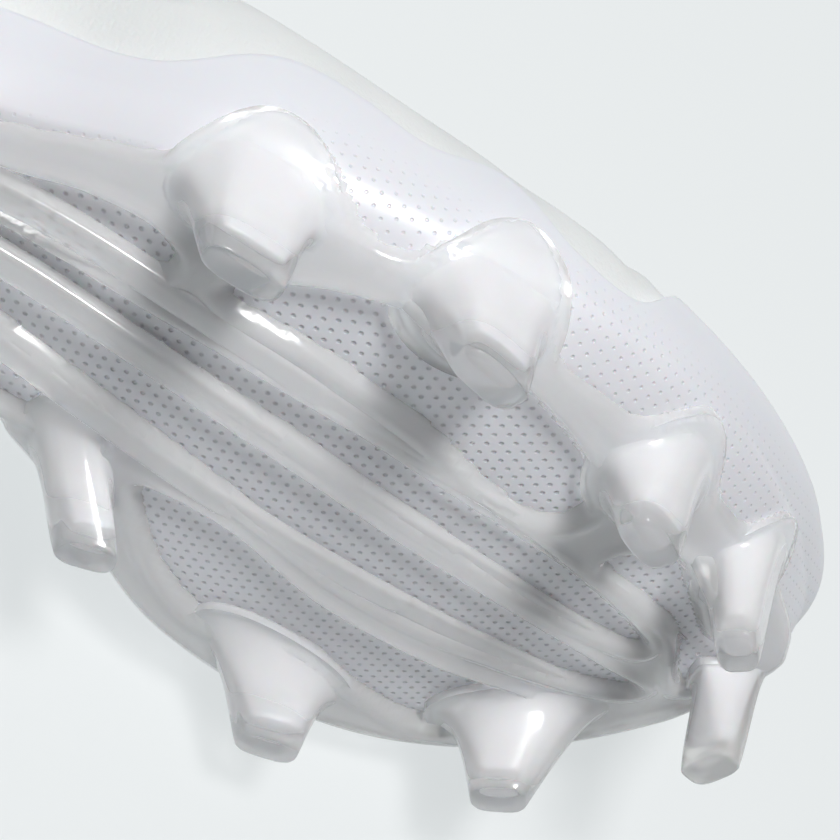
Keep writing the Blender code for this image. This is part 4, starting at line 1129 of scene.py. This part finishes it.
    def foot_ring(self, stud: Stud, place: float, grow: float, lift: float) -> np.ndarray:
        """Ring where a stud runs out over the plate, its border and the side wall.

        Args:
            stud: the stud.
            place: loop place of the plate's edge next to it.
            grow: how much the ring is wider than the stud's own foot.
            lift: height of the ring over the chassis.

        Returns:
            An array of points in the shoe's frame.
        """
        spot, _ = self.stud_tip(stud)
        edge = FORM.foot(np.array(place))
        inboard = float(np.linalg.norm(edge - spot)) * (1 if self.within(spot, place) else -1)
        centre = 2.0 * MM - inboard
        web = max(stud.web * MM - 1.0 * MM - centre, 2 * MM)
        run = FORM.foot(np.array(place + 0.05)) - FORM.foot(np.array(place - 0.05))
        rate = float(np.linalg.norm(run)) / 0.1
        turn = math.radians(stud.turn)
        heading = math.atan2(run[1], run[0])
        points = []
        for angle in np.linspace(0, 2 * math.pi, self.ring_points, endpoint=False):
            world = angle + turn - heading
            out = -math.sin(world)
            narrow = 1 - 0.35 * max(out, 0.0)
            along = math.cos(world) * (stud.spread * MM * narrow + grow)
            reach = out * (web if out > 0 else stud.inside * MM)
            reach += grow * (1 if out > 0 else -1) * abs(out)
            point, normal = self.surface.sample(place + along / rate, centre + reach)
            points.append(point + normal * lift)
        return np.array(points)

    def within(self, spot: np.ndarray, place: float) -> bool:
        """Whether a spot in plan lies inside the plate's edge."""
        out = FORM.outward(np.array(place))
        return float((FORM.foot(np.array(place)) - spot) @ out) > 0

    def flare(self, stud: Stud, place: float, tip_lift: float, grow: float, lift: float,
              under: float) -> list:
        """Rings of a stud's skin, from its tip to its foot and down into the chassis.

        Args:
            stud: the stud.
            place: loop place of the plate's edge next to it.
            tip_lift: height of the ring above the real tip.
            grow: how much the tip is wider than the stud's blade.
            lift: height of the foot over the chassis.
            under: depth of the last ring inside the chassis.

        Returns:
            Arrays of ring points in the shoe's frame.
        """
        spot, tip_z = self.stud_tip(stud)
        blade = self.blade(stud, grow)
        tip = np.concatenate([spot + blade, np.full((len(blade), 1), tip_z + tip_lift)], -1)
        foot = self.foot_ring(stud, place, grow, lift)
        centre = foot.mean(axis=0)
        middle = np.array([*spot, tip_z + tip_lift])
        axis = centre - middle
        first = tip + axis * self.flare_start + (foot - centre) * 0.15
        second = foot + (centre - foot) * self.flare_end
        rings = []
        for v in np.linspace(0, 1, self.flare_steps + 1):
            rings.append(tip * (1 - v) ** 3 + first * 3 * v * (1 - v) ** 2
                         + second * 3 * v * v * (1 - v) + foot * v ** 3)
        rings.append(self.foot_ring(stud, place, grow - 0.3 * MM, -under))
        inward = [middle + (tip - middle) * share + np.array([0, 0, drop])
                  for share, drop in self.tip_rings]
        return inward + rings

    def stud(self, stud: Stud, place: float) -> bpy.types.Object:
        """A clear stud with a rounded blade tip and a concave flare."""
        rings = self.flare(stud, place, 0.5 * MM, 0.0, self.thickness - 0.2 * MM, self.root)
        return to_object(loft(rings), f"stud_{stud.name}")

    def fin(self, row: tuple) -> bpy.types.Object:
        """A thin clear fin from a stud's tip down to a corner of the rail."""
        stud = next(stud for stud in STUDS if stud.name == row[0])
        spot, tip_z = self.stud_tip(stud)
        corner = np.array([row[1] * FORM.length, row[2] * FORM.ball_width])
        ahead = unit(corner - spot)
        side = np.array([-ahead[1], ahead[0]])
        thick, loss = self.fin_mm
        rings = []
        for u in np.linspace(0, 1, self.fin_steps):
            plan = spot + (corner - spot) * u
            plate = float(FORM.plate_z(np.array(plan[0])))
            edge = tip_z + 1.3 * MM + (plate - 0.3 * MM - tip_z) * u ** self.fin_bend
            half = (thick - loss * u) * MM
            ring = [(*(plan + side * half * across), min(edge + lift * MM, plate + 2 * MM))
                    for across, lift in self.fin_round]
            ring += [(*(plan + side * half * share), plate + 3.4 * MM) for share in (-1, 1)]
            rings.append(ring)
        return to_object(loft(rings), f"fin_{row[0]}")

    def core(self, stud: Stud, place: float) -> bmesh.types.BMesh:
        """The white core that fills a stud to a little above its clear tip."""
        return loft(self.flare(stud, place, self.core_grow, -self.core_depth, 0.2 * MM,
                               self.root))

    def build(self, clear: bpy.types.Material, white: bpy.types.Material) -> None:
        """Make the cage as one clear body, and the white cores.

        Args:
            clear: the cage's material.
            white: the cores' material.
        """
        sheet = self.sheet()
        parts = [self.rib(row) for row in RIBS] + [self.fin(row) for row in FINS]
        cores = bmesh.new()
        for stud, place in zip(STUDS, self.places()):
            parts.append(self.stud(stud, place))
            core = self.core(stud, place)
            holder = bpy.data.meshes.new("core")
            core.to_mesh(holder)
            core.free()
            cores.from_mesh(holder)
            bpy.data.meshes.remove(holder)
        dress(to_object(cores, "stud_cores"), [white], "white_tpu")
        sheet.data.materials.append(clear)
        combine(sheet, parts, "UNION")
        sheet.name = "cage_clear"
        sheet.data.shade_smooth()
        sheet.data.set_sharp_from_angle(angle=math.radians(50))
        dress(sheet, [], "clear_tpu", "cage")


@dataclass(frozen=True)
class Upper:
    """The hollow upper: grained outside, padded collar, eyestay and counter steps, creases."""

    wall: float = 1.8 * MM
    padding: float = 3.2 * MM
    step: float = 0.7 * MM          # height of the overlays' edges
    columns: int = 528
    rows: int = 74
    edge_rows: tuple = (0.972, 0.978, 0.983, 0.987, 0.991, 0.9945, 0.9975, 0.9993, 1.0)
    eyestay_from: float = 3.8
    counter_end: float = 2.6
    eyelets: int = 6
    eyelet_front: float = 7.25
    eyelet_back: float = 5.0
    eyelet_inset: float = 8 * MM
    eyelet_radius: float = 2.1 * MM
    collar_swell: float = 0.15 * MM
    overlay_from: tuple = (0.695, 0.725)    # shares of the free height at the eyestay's edge
    counter_top: tuple = (0.44, 0.47)
    eyestay_seams: tuple = (0.745, 0.775)
    counter_seam: float = 0.415
    thread: float = 0.30 * MM               # radius of a stitch
    thread_sink: float = 0.15 * MM

    # soft creases over the vamp: station, lean in stations, height share, width, depth
    creases = (
        (7.55, 0.35, 0.62, 0.10, 0.9), (7.95, 0.30, 0.70, 0.09, 1.1),
        (8.35, 0.25, 0.74, 0.10, 1.0), (8.75, 0.15, 0.66, 0.10, 0.7),
        (6.90, 0.45, 0.45, 0.14, 0.6), (4.60, -0.50, 0.40, 0.16, 0.6),
        (3.70, -0.30, 0.55, 0.14, 0.7),
    )

    def thickness(self, t: np.ndarray, h: np.ndarray) -> np.ndarray:
        """Wall of the upper: thin, and padded round the collar."""
        around = 1 - smoothstep(FORM.throat_start - 1.2, FORM.throat_start - 0.2,
                                FORM.place(t))
        up = smoothstep(0.62, 0.82, h) * (1 - 0.5 * smoothstep(0.93, 1.0, h))
        return self.wall + self.padding * around * up

    def free_start(self, t: np.ndarray) -> np.ndarray:
        """Height share at which the upper comes out of the chassis."""
        start = FORM.edge_lift + FORM.floor + FORM.clearance
        return FORM.height_share(t, FORM.chassis_edge(t) - start)

    def relief(self, t: np.ndarray, h: np.ndarray, free: np.ndarray) -> np.ndarray:
        """Height of overlays, padding and creases above the last.

        Args:
            t: loop places of the columns.
            h: height share.
            free: height share at which each column comes out of the chassis.

        Returns:
            The height in metres.
        """
        place = FORM.place(t)
        share = (h - free) / (1 - free)
        eyestay = (smoothstep(*self.overlay_from, share)
                   * smoothstep(self.eyestay_from - 0.06, self.eyestay_from + 0.02, place)
                   * (1 - smoothstep(8.06, 8.16, place)))
        counter = (smoothstep(0.02, 0.05, share)
                   * (1 - smoothstep(*self.counter_top, share))
                   * (1 - smoothstep(self.counter_end - 0.02, self.counter_end + 0.05, place)))
        height = self.step * np.maximum(eyestay, counter)
        collar = (1 - smoothstep(2.6, 3.6, place)) * smoothstep(0.70, 0.86, h)
        pad = collar * (1 - 0.7 * smoothstep(0.94, 1.0, h))
        height = height + self.collar_swell * pad
        for station, lean, top, width, depth in self.creases:
            middle = station + lean * (1 - h)
            trough = np.exp(-((place - middle) / width) ** 2)
            ridges = np.exp(-((np.abs(place - middle) - 1.7 * width) / width) ** 2)
            reach = smoothstep(0.06, 0.2, share) * (1 - smoothstep(top, top + 0.2, h))
            wave = 0.75 + 0.25 * np.sin(37 * h + 5 * station)
            height = height + depth * MM * reach * wave * (0.45 * ridges - trough) * 0.6
        return height * smoothstep(0.0, 0.04, share)

    def rim(self, t: np.ndarray, h: np.ndarray) -> np.ndarray:
        """How round the section is: 1 away from the open edge, 0 at its middle line."""
        arc = np.linalg.norm(FORM.last_point(t, np.ones(t.shape))
                             - FORM.last_point(t, np.full(t.shape, 0.94)), axis=-1) / 0.06
        radius = 0.55 * (self.thickness(t, np.ones(t.shape)) + self.step)
        away = np.clip((1 - h) * arc / radius, 0, 1)
        closed = smoothstep(FORM.vamp_start - 0.12, FORM.vamp_start, FORM.place(t))
        return np.maximum(np.sqrt(np.clip(1 - (1 - away) ** 2, 0, 1)), closed)

    def shares(self) -> np.ndarray:
        """Height shares of the rows, closer together at the open edge."""
        return np.concatenate([np.linspace(0, 0.965, self.rows), self.edge_rows])

    @lru_cache
    def places(self, side: Side) -> list:
        """Loop place and height share of each eyelet, from the throat's front to the top."""
        found = []
        for place in np.linspace(self.eyelet_front, self.eyelet_back, self.eyelets):
            t = np.array(side.loop(place))
            h = np.linspace(0.80, 0.995, 40)
            away = np.linalg.norm(FORM.skin_point(t, h, 0.0)
                                  - FORM.skin_point(t, 1.0, 0.0), axis=-1)
            found.append((float(t), float(h[np.argmin(np.abs(away - self.eyelet_inset))])))
        return found

    def pins(self) -> list:
        """Round pins that cut the eyelets."""
        made = []
        for side in Side:
            for k, (t, h) in enumerate(self.places(side)):
                normal = FORM.last_normal(np.array(t), np.array(h))
                point = FORM.skin_point(np.array(t), np.array(h), 0.0)
                ends = np.array([point + normal * 4 * MM, point - normal * 4 * MM])
                top, bottom = (Vector(end) for end in REST.apply(ends))
                turn = Vector((0, 0, 1)).rotation_difference(top - bottom).to_matrix()
                bm = bmesh.new()
                bmesh.ops.create_cone(
                    bm, cap_ends=True, segments=28, radius1=self.eyelet_radius,
                    radius2=self.eyelet_radius, depth=8 * MM,
                    matrix=Matrix.Translation((top + bottom) / 2) @ turn.to_4x4())
                made.append(to_object(bm, f"pin_{side.name}_{k}"))
        return made

    def build(self, grained: bpy.types.Material, lining: bpy.types.Material) -> None:
        """Make the upper with its lining and eyelets.

        Args:
            grained: the material outside.
            lining: the material inside.
        """
        t = np.arange(self.columns) * LOOP / self.columns
        free = self.free_start(t)
        outer, inner, bonded = [], [], []
        shares = self.shares()
        for h in shares:
            level = np.full(t.shape, h)
            high = self.relief(t, level, free)
            low = -self.thickness(t, level)
            round_off = self.rim(t, level)
            middle = (high + low) / 2
            half = (high - low) / 2 * round_off
            outer.append(FORM.skin_point(t, level, middle + half))
            inner.append(FORM.skin_point(t, level, middle - half))
            share = (level - free) / (1 - free)
            bonded.append(self.welded(t, share))
        few = [k for k in range(len(shares)) if k % 3 == 0 or k > self.rows - 4]
        rows = outer + [inner[k] for k in reversed(few)]
        marks = {"bonded": np.array(bonded + [bonded[0]] * len(few)),
                 "lining": np.array([t * 0] * len(outer) + [t * 0 + 1] * len(few))}
        gap = np.zeros((len(rows), len(t)), bool)
        gap[len(outer) - 1:len(outer) + 1] = FORM.place(t) >= FORM.vamp_start - 1e-6
        bm = skin(np.array(rows), close_rows=True, marks=marks, gap=gap)
        layer = bm.verts.layers.float["lining"]
        for face in bm.faces:
            face.material_index = int(sum(vertex[layer] for vertex in face.verts) > 3.5)
        upper = to_object(bm, "upper_shell", 60)
        for finish in (grained, lining):
            upper.data.materials.append(finish)
        combine(upper, self.pins(), "DIFFERENCE")
        dress(upper, [], "cream_synthetic", "upper")

    def welded(self, t: np.ndarray, share: np.ndarray) -> np.ndarray:
        """Where the glossy film is welded on: a band of the outer side behind the ball."""
        x = FORM.foot(t)[..., 0] / FORM.length
        band = ((t < SPANS) * smoothstep(0.575, 0.560, x + 0.10 * share)
                * smoothstep(0.20, 0.22, share))
        return band * (1 - smoothstep(0.66, 0.68, share))

    def seams(self, thread: bpy.types.Material) -> None:
        """Rows of single stitches along the eyestay, the collar and the counter."""
        lines = []
        for side in Side:
            place = side.loop(np.linspace(self.eyestay_from + 0.1, 7.9, 66))
            lines += [(place, share) for share in self.eyestay_seams]
            place = side.loop(np.linspace(0.05, self.counter_end - 0.1, 52))
            lines.append((place, self.counter_seam))
        bm = bmesh.new()
        for places, share in lines:
            free = self.free_start(places)
            h = free + (1 - free) * share
            height = self.relief(places, h, free) - self.thread_sink
            points = REST.apply(FORM.skin_point(places, h, height))
            for near, far in zip(points, points[1:]):
                run = Vector(far - near)
                turn = Vector((1, 0, 0)).rotation_difference(run).to_matrix().to_4x4()
                size = Matrix.Diagonal((run.length * 0.36, self.thread, self.thread, 1))
                bmesh.ops.create_icosphere(
                    bm, subdivisions=1, radius=1.0,
                    matrix=Matrix.Translation(Vector(near + far) / 2) @ turn @ size)
        dress(to_object(bm, "stitches"), [thread], "cream_synthetic")


@dataclass
class Insole:
    """The padded insole on the chassis' floor."""

    thickness: float = 4.0 * MM
    margin: float = -2.4 * MM
    columns: int = 264
    bottom: tuple = (0.0, 0.3, 0.6, 0.8, 0.92, 0.96)    # shares from the spine outwards
    # share from the spine and share of the thickness, round the edge and back over the top
    edge: tuple = ((0.972, 0.25), (0.976, 0.55), (0.972, 0.78), (0.960, 0.92), (0.945, 0.98),
                   (0.93, 1.0), (0.8, 1.0), (0.6, 1.0), (0.3, 1.0), (0.0, 1.0))

    def build(self, finish: bpy.types.Material) -> None:
        """Make the insole with a flat bottom and a rounded edge."""
        t = np.arange(self.columns) * LOOP / self.columns
        low = FORM.floor + FORM.clearance
        rows = [FORM.plate_point(t, share, self.margin, low) for share in self.bottom]
        rows += [FORM.plate_point(t, share, self.margin, low + self.thickness * lift)
                 for share, lift in self.edge]
        dress(to_object(skin(np.array(rows)), "insole_pad"), [finish], "grey_sockliner",
              "insole")


@dataclass
class Tongue:
    """The padded tongue under the throat, quilted across and rounded at its top."""

    upper: Upper
    gap: float = 1.8 * MM
    thickness: float = 4.0 * MM
    quilting: float = 0.22 * MM
    side_points: int = 9            # points under each eyestay
    crown_points: int = 6           # points from each eyestay to the middle
    crown: float = 0.08             # rise of the middle, as a share of the open width
    hem: float = 0.93               # share of the way up at which the end thins out
    stations: tuple = (7.667, 4.667)
    steps: int = 64
    root: tuple = (9.0, 0.0, -5.0)      # run of the hidden root, in mm
    top: tuple = (-11.0, 0.0, 21.0)     # run of the part above the eyelets, in mm
    # shares of the way up past the eyelets, closer together at the rounded end
    rises: tuple = (0.06, 0.13, 0.20, 0.30, 0.42, 0.55, 0.66, 0.76, 0.84, 0.90, 0.94, 0.97,
                    0.99, 1.0)
    # share of the way up past the eyelets, then width and thickness as shares
    tops: tuple = ((0.0, 1.0, 1.0), (0.20, 0.64, 1.0), (0.72, 0.68, 0.85), (1.0, 0.46, 0.5))

    def section(self, place: float, depth: float) -> np.ndarray:
        """Points across the tongue at a station, from the outer to the inner side."""
        sides = []
        for side in Side:
            t = np.full(self.side_points, side.loop(place))
            free = self.upper.free_start(t)
            h = free + (1 - free) * np.linspace(0.72, 1.0, self.side_points)
            sides.append(FORM.skin_point(t, h, -self.upper.thickness(t, h) - depth))
        outer, inner = sides
        span = inner[-1] - outer[-1]
        rise = self.crown * float(np.linalg.norm(span))
        crown = (outer[-1] + inner[-1]) / 2 + (0, 0, rise)
        keys = np.array([outer[-2], outer[-1], crown, inner[-1], inner[-2]])
        u = np.linspace(0, 1, self.crown_points + 1)[1:, None]
        left = catmull(*keys[0:4], u)
        right = catmull(*keys[1:5], u)
        return np.concatenate([outer, left, right[:-1], inner[::-1]])

    def build(self, finish: bpy.types.Material) -> None:
        """Make the tongue as one padded body."""
        pairs = []
        for k, place in enumerate(np.linspace(*self.stations, self.steps)):
            above = self.section(place, self.gap)
            below = self.section(place, self.gap + self.thickness)
            quilt = self.quilting * (1 - math.cos(k * math.pi / 4))
            pairs.append((above + (below - above) / self.thickness * quilt * 0.5, below))
        above, below = pairs[0]
        shift = np.array(self.root) * MM
        for share in (0.33, 0.66, 1.0):
            near = above + shift * share
            far = near + (below - above) * (1 - 0.5 * share)
            pairs.insert(0, (near, far))
        above, below = pairs[-1]
        middle = (above[0] + above[-1]) / 2
        table = np.array(self.tops)
        rise = np.array(self.top) * MM
        for share in self.rises:
            wide, thick = (float(np.interp(share, table[:, 0], table[:, k])) for k in (1, 2))
            near = middle + (above - middle) * (1, wide, 1) + rise * share
            centre = near + (below - above) * thick / 2
            thick *= math.sqrt(max(1 - max(share - self.hem, 0) ** 2 / 0.0052, 0.0))
            half = (below - above) * thick / 2
            pairs.append((centre - half, centre + half))
        rows = np.array([np.concatenate([near, far[::-1]]) for near, far in pairs])
        ends = []
        for pair in (rows[0], rows[-1]):
            half = len(pair) // 2
            seam = (pair[:half] + pair[:half - 1:-1]) / 2
            ends.append(np.concatenate([seam, seam[::-1]]))
        rows = np.concatenate([ends[0][None], rows, ends[1][None]])
        tongue = to_object(skin(rows), "tongue_pad")
        dress(tongue, [finish], "cream_mesh", "tongue")


@dataclass
class Lace:
    """One flat woven lace, laced straight across and hidden under the eyestay between."""

    upper: Upper
    width: float = 6.0 * MM
    thick: float = 1.4 * MM
    mouth: tuple = (3.3 * MM, 1.9 * MM)     # width and thickness inside an eyelet
    mouth_depth: float = 0.9 * MM
    shoulder: tuple = (3.9 * MM, 1.8 * MM)  # just outside it
    turned: tuple = (3.4 * MM, 1.3 * MM)    # just under it
    tucked: tuple = (4.6 * MM, 1.1 * MM)    # between two eyelets, under the eyestay
    lift: float = 0.9 * MM                  # of the lowest bar over the skin
    lift_step: float = 0.3 * MM             # more for each bar above it
    handle: float = 0.42                    # how far a bar keeps the skin's direction
    under: float = 2.65 * MM                # depth of the hidden runs
    keys_across: tuple = (0.0, 0.09, 0.2, 0.35, 0.5, 0.65, 0.8, 0.91, 1.0)
    around: int = 16                        # points round the section
    steps: int = 6                          # sections from one key to the next

    def eyelet(self, side: Side, row: int) -> tuple:
        """Middle of an eyelet on the skin, the normal there and the way up the throat."""
        t, h = self.upper.places(side)[row]
        t, h = np.array(t), np.array(h)
        step = 0.05 * side.value
        ahead = FORM.skin_point(t - step, h, 0.0) - FORM.skin_point(t + step, h, 0.0)
        return FORM.skin_point(t, h, 0.0), FORM.last_normal(t, h), unit(ahead)

    def bar(self, row: int, keys: list, start: Side) -> None:
        """Keys of the visible run of a row, from one eyelet to the other.

        Args:
            row: number of the row, from the throat's front.
            keys: list that the keys are added to, as point, way across, width, thickness.
            start: side on which the run starts.
        """
        near, near_up, near_along = self.eyelet(start, row)
        far, far_up, far_along = self.eyelet(start.other(), row)
        height = self.lift + self.lift_step * row
        a, d = near + near_up * height, far + far_up * height
        span = d - a
        length = np.linalg.norm(span)
        b = a + unit(span - near_up * (span @ near_up)) * length * self.handle
        c = d - unit(span - far_up * (span @ far_up)) * length * self.handle
        along = unit(near_along + far_along)
        keys.append((near - near_up * self.mouth_depth, near_along, *self.mouth))
        for u in self.keys_across:
            spot = (a * (1 - u) ** 3 + b * 3 * u * (1 - u) ** 2 + c * 3 * u * u * (1 - u)
                    + d * u ** 3)
            up = unit(near_up * (1 - u) + far_up * u)
            flat = float(smoothstep(0.0, 0.16, min(u, 1 - u)))
            wide, high = self.shoulder
            keys.append((spot + up * self.thick / 2, along,
                         wide + (self.width - wide) * flat, high + (self.thick - high) * flat))
        keys.append((far - far_up * self.mouth_depth, far_along, *self.mouth))

    def hidden(self, side: Side, start: int, end: int, keys: list) -> None:
        """Keys of a run under the eyestay from one eyelet to another.

        Args:
            side: side on which the run lies.
            start: row of its first eyelet.
            end: row of its last eyelet.
            keys: list that the keys are added to.
        """
        first, up, first_along = self.eyelet(side, start)
        last, last_up, last_along = self.eyelet(side, end)
        across = unit(np.cross(up, first_along))
        keys.append((first - up * self.under, unit(across + first_along), *self.turned))
        rows = np.linspace(start, end, 3 * abs(end - start) + 1)[1:-1]
        t, h = np.array(self.upper.places(side)).T
        numbers = np.arange(self.upper.eyelets)
        for row in rows:
            place = np.array(np.interp(row, numbers, t))
            share = np.array(np.interp(row, numbers, h))
            normal = FORM.last_normal(place, share)
            keys.append((FORM.skin_point(place, share, 0.0) - normal * self.under, across,
                         *self.tucked))
        keys.append((last - last_up * self.under, unit(across + last_along), *self.turned))

    def build(self, finish: bpy.types.Material) -> None:
        """Make the lace and log its length."""
        keys: list = []
        self.hidden(Side.OUTER, 4, 0, keys)
        side = Side.OUTER
        for row in range(self.upper.eyelets):
            self.bar(row, keys, side)
            side = side.other()
            if row < self.upper.eyelets - 1:
                self.hidden(side, row, row + 1, keys)
        spot, up, _ = self.eyelet(side, self.upper.eyelets - 1)
        keys.append((spot - up * self.under, keys[-1][1], *self.turned))
        spots = np.array([key[0] for key in keys])
        others = np.array([(*key[1], key[2], key[3]) for key in keys])
        rows, plan, run = [], [], 0.0
        last = len(keys) - 1
        before = spots[0]
        angle = np.linspace(0, 2 * math.pi, self.around, endpoint=False)
        for k in range(last):
            for u in np.linspace(0, 1, self.steps + 1)[:-1]:
                four = [spots[max(k - 1, 0)], spots[k], spots[k + 1], spots[min(k + 2, last)]]
                spot = catmull(*four, u)
                ahead = unit(catmull(*four, u + 0.02) - catmull(*four, u - 0.02))
                across, (wide, high) = np.split(others[k] * (1 - u) + others[k + 1] * u, [3])
                across = unit(across - ahead * (across @ ahead))
                up = np.cross(ahead, across)
                run += float(np.linalg.norm(spot - before))
                before = spot
                x = np.sign(np.cos(angle)) * np.abs(np.cos(angle)) ** 0.5 * wide / 2
                y = np.sign(np.sin(angle)) * np.abs(np.sin(angle)) ** 0.8 * high / 2
                rows.append(spot + x[:, None] * across + y[:, None] * up)
                plan.append(np.stack([x / MM, np.full(self.around, run / MM)], -1))
        ends = [row * 0 + row.mean(axis=0) for row in (rows[0], rows[-1])]
        rows = [ends[0]] + rows + [ends[1]]
        plan = [plan[0]] + plan + [plan[-1]]
        bars = [f"lace_bar_{k + 1}" for k in range(self.upper.eyelets)]
        log.info("lace: %.0f mm", run / MM)
        dress(to_object(skin(np.array(rows), plan=np.array(plan)), "lace"), [finish],
              "white_lace", *bars)


@dataclass
class Studio:
    """Pale floor, soft lamps and the camera at the photograph's place."""

    eye: tuple = (122.32, -205.66, -184.75)
    look: tuple = (0.3028, 0.6447, 0.7020)
    up: tuple = (-0.4471, -0.5544, 0.7020)
    lens_px: float = 2066.0
    frame_px: float = 840.0
    sensor: float = 36.0
    floor: str = "#ebf0f1"
    floor_glow: float = 0.74        # the paper is brighter than the lamps alone make it
    # place, aim, size and power of the two soft lamps
    key: tuple = ((-0.09, 0.0, 1.2), (0.02, -0.02, 0.05), 0.26, 12.2)
    fill: tuple = ((-0.3, 1.1, 1.0), (0.0, 0.0, 0.05), 1.2, 0.5)
    sky: str = "#f2f5f7"
    sky_strength: float = 0.05

    def camera(self) -> None:
        """Place the camera as the photograph has it to the shoe."""
        back = -Vector(self.look).normalized()
        up = Vector(self.up)
        up = (up - back * up.dot(back)).normalized()
        right = up.cross(back)
        turn = Matrix((right, up, back)).transposed().to_4x4()
        lens = bpy.data.cameras.new("view")
        lens.sensor_width = self.sensor
        lens.lens = self.lens_px / self.frame_px * self.sensor
        lens.clip_start = 0.01
        item = bpy.data.objects.new("view", lens)
        bpy.context.collection.objects.link(item)
        item.matrix_world = REST.matrix() @ Matrix.Translation(Vector(self.eye) * MM) @ turn
        bpy.context.scene.camera = item

    def lamp(self, name: str, place: tuple, aim: tuple, size: float, power: float) -> None:
        """A square soft lamp that faces a point."""
        light = bpy.data.lights.new(name, "AREA")
        light.size = size
        light.energy = power
        item = bpy.data.objects.new(name, light)
        bpy.context.collection.objects.link(item)
        item.location = place
        item.rotation_euler = (Vector(aim) - Vector(place)).to_track_quat("-Z", "Y").to_euler()

    def build(self) -> None:
        """Make the floor, lamps, world and camera."""
        bm = bmesh.new()
        bmesh.ops.create_grid(bm, x_segments=2, y_segments=2, size=3.0)
        mesh = bpy.data.meshes.new("floor")
        bm.to_mesh(mesh)
        bm.free()
        floor = bpy.data.objects.new("floor", mesh)
        bpy.context.collection.objects.link(floor)
        made, tree, out = new_material("matte_paper")
        shader = add_node(tree, "ShaderNodeBsdfPrincipled", {
            "Base Color": (0.22, 0.22, 0.22, 1), "Roughness": 1.0,
            "Specular IOR Level": 0.0, "Emission Color": linear(self.floor),
            "Emission Strength": self.floor_glow})
        tree.links.new(shader.outputs[0], out.inputs["Surface"])
        mesh.materials.append(made)
        self.lamp("key", *self.key)
        self.lamp("fill", *self.fill)
        world = bpy.data.worlds.new("studio")
        bpy.context.scene.world = world
        world.use_nodes = True
        sky = world.node_tree.nodes["Background"]
        sky.inputs["Color"].default_value = linear(self.sky)
        sky.inputs["Strength"].default_value = self.sky_strength
        bpy.context.scene.view_settings.view_transform = "Standard"
        self.camera()


def main() -> None:
    """Build the cleat and its studio, and report each piece."""
    logging.basicConfig(level=logging.INFO)
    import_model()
    white = MouldedWhite().build()
    plain = MouldedWhite(dimple=False).build()
    clear = ClearPolyurethane().build()
    surface = Chassis().build(white)
    Cage(surface).build(clear, plain)
    upper = Upper()
    lining = KnitFabric("spacer_knit_lining", "#e9eaea", "#cfd0d1").build()
    upper.build(GrainedSynthetic().build(), lining)
    upper.seams(KnitFabric("polyester_thread", "#efefec", "#dcdcd8", 0.4, 0.7).build())
    Insole().build(KnitFabric("foam_sockliner", "#9b9da1", "#85878b", 1.2).build())
    Tongue(upper).build(KnitFabric("padded_mesh", "#e8e9e7", "#cccdcb", 1.8).build())
    Lace(upper).build(WovenBand("woven_polyester").build())
    Studio().build()


if __name__ == "__main__":
    main()
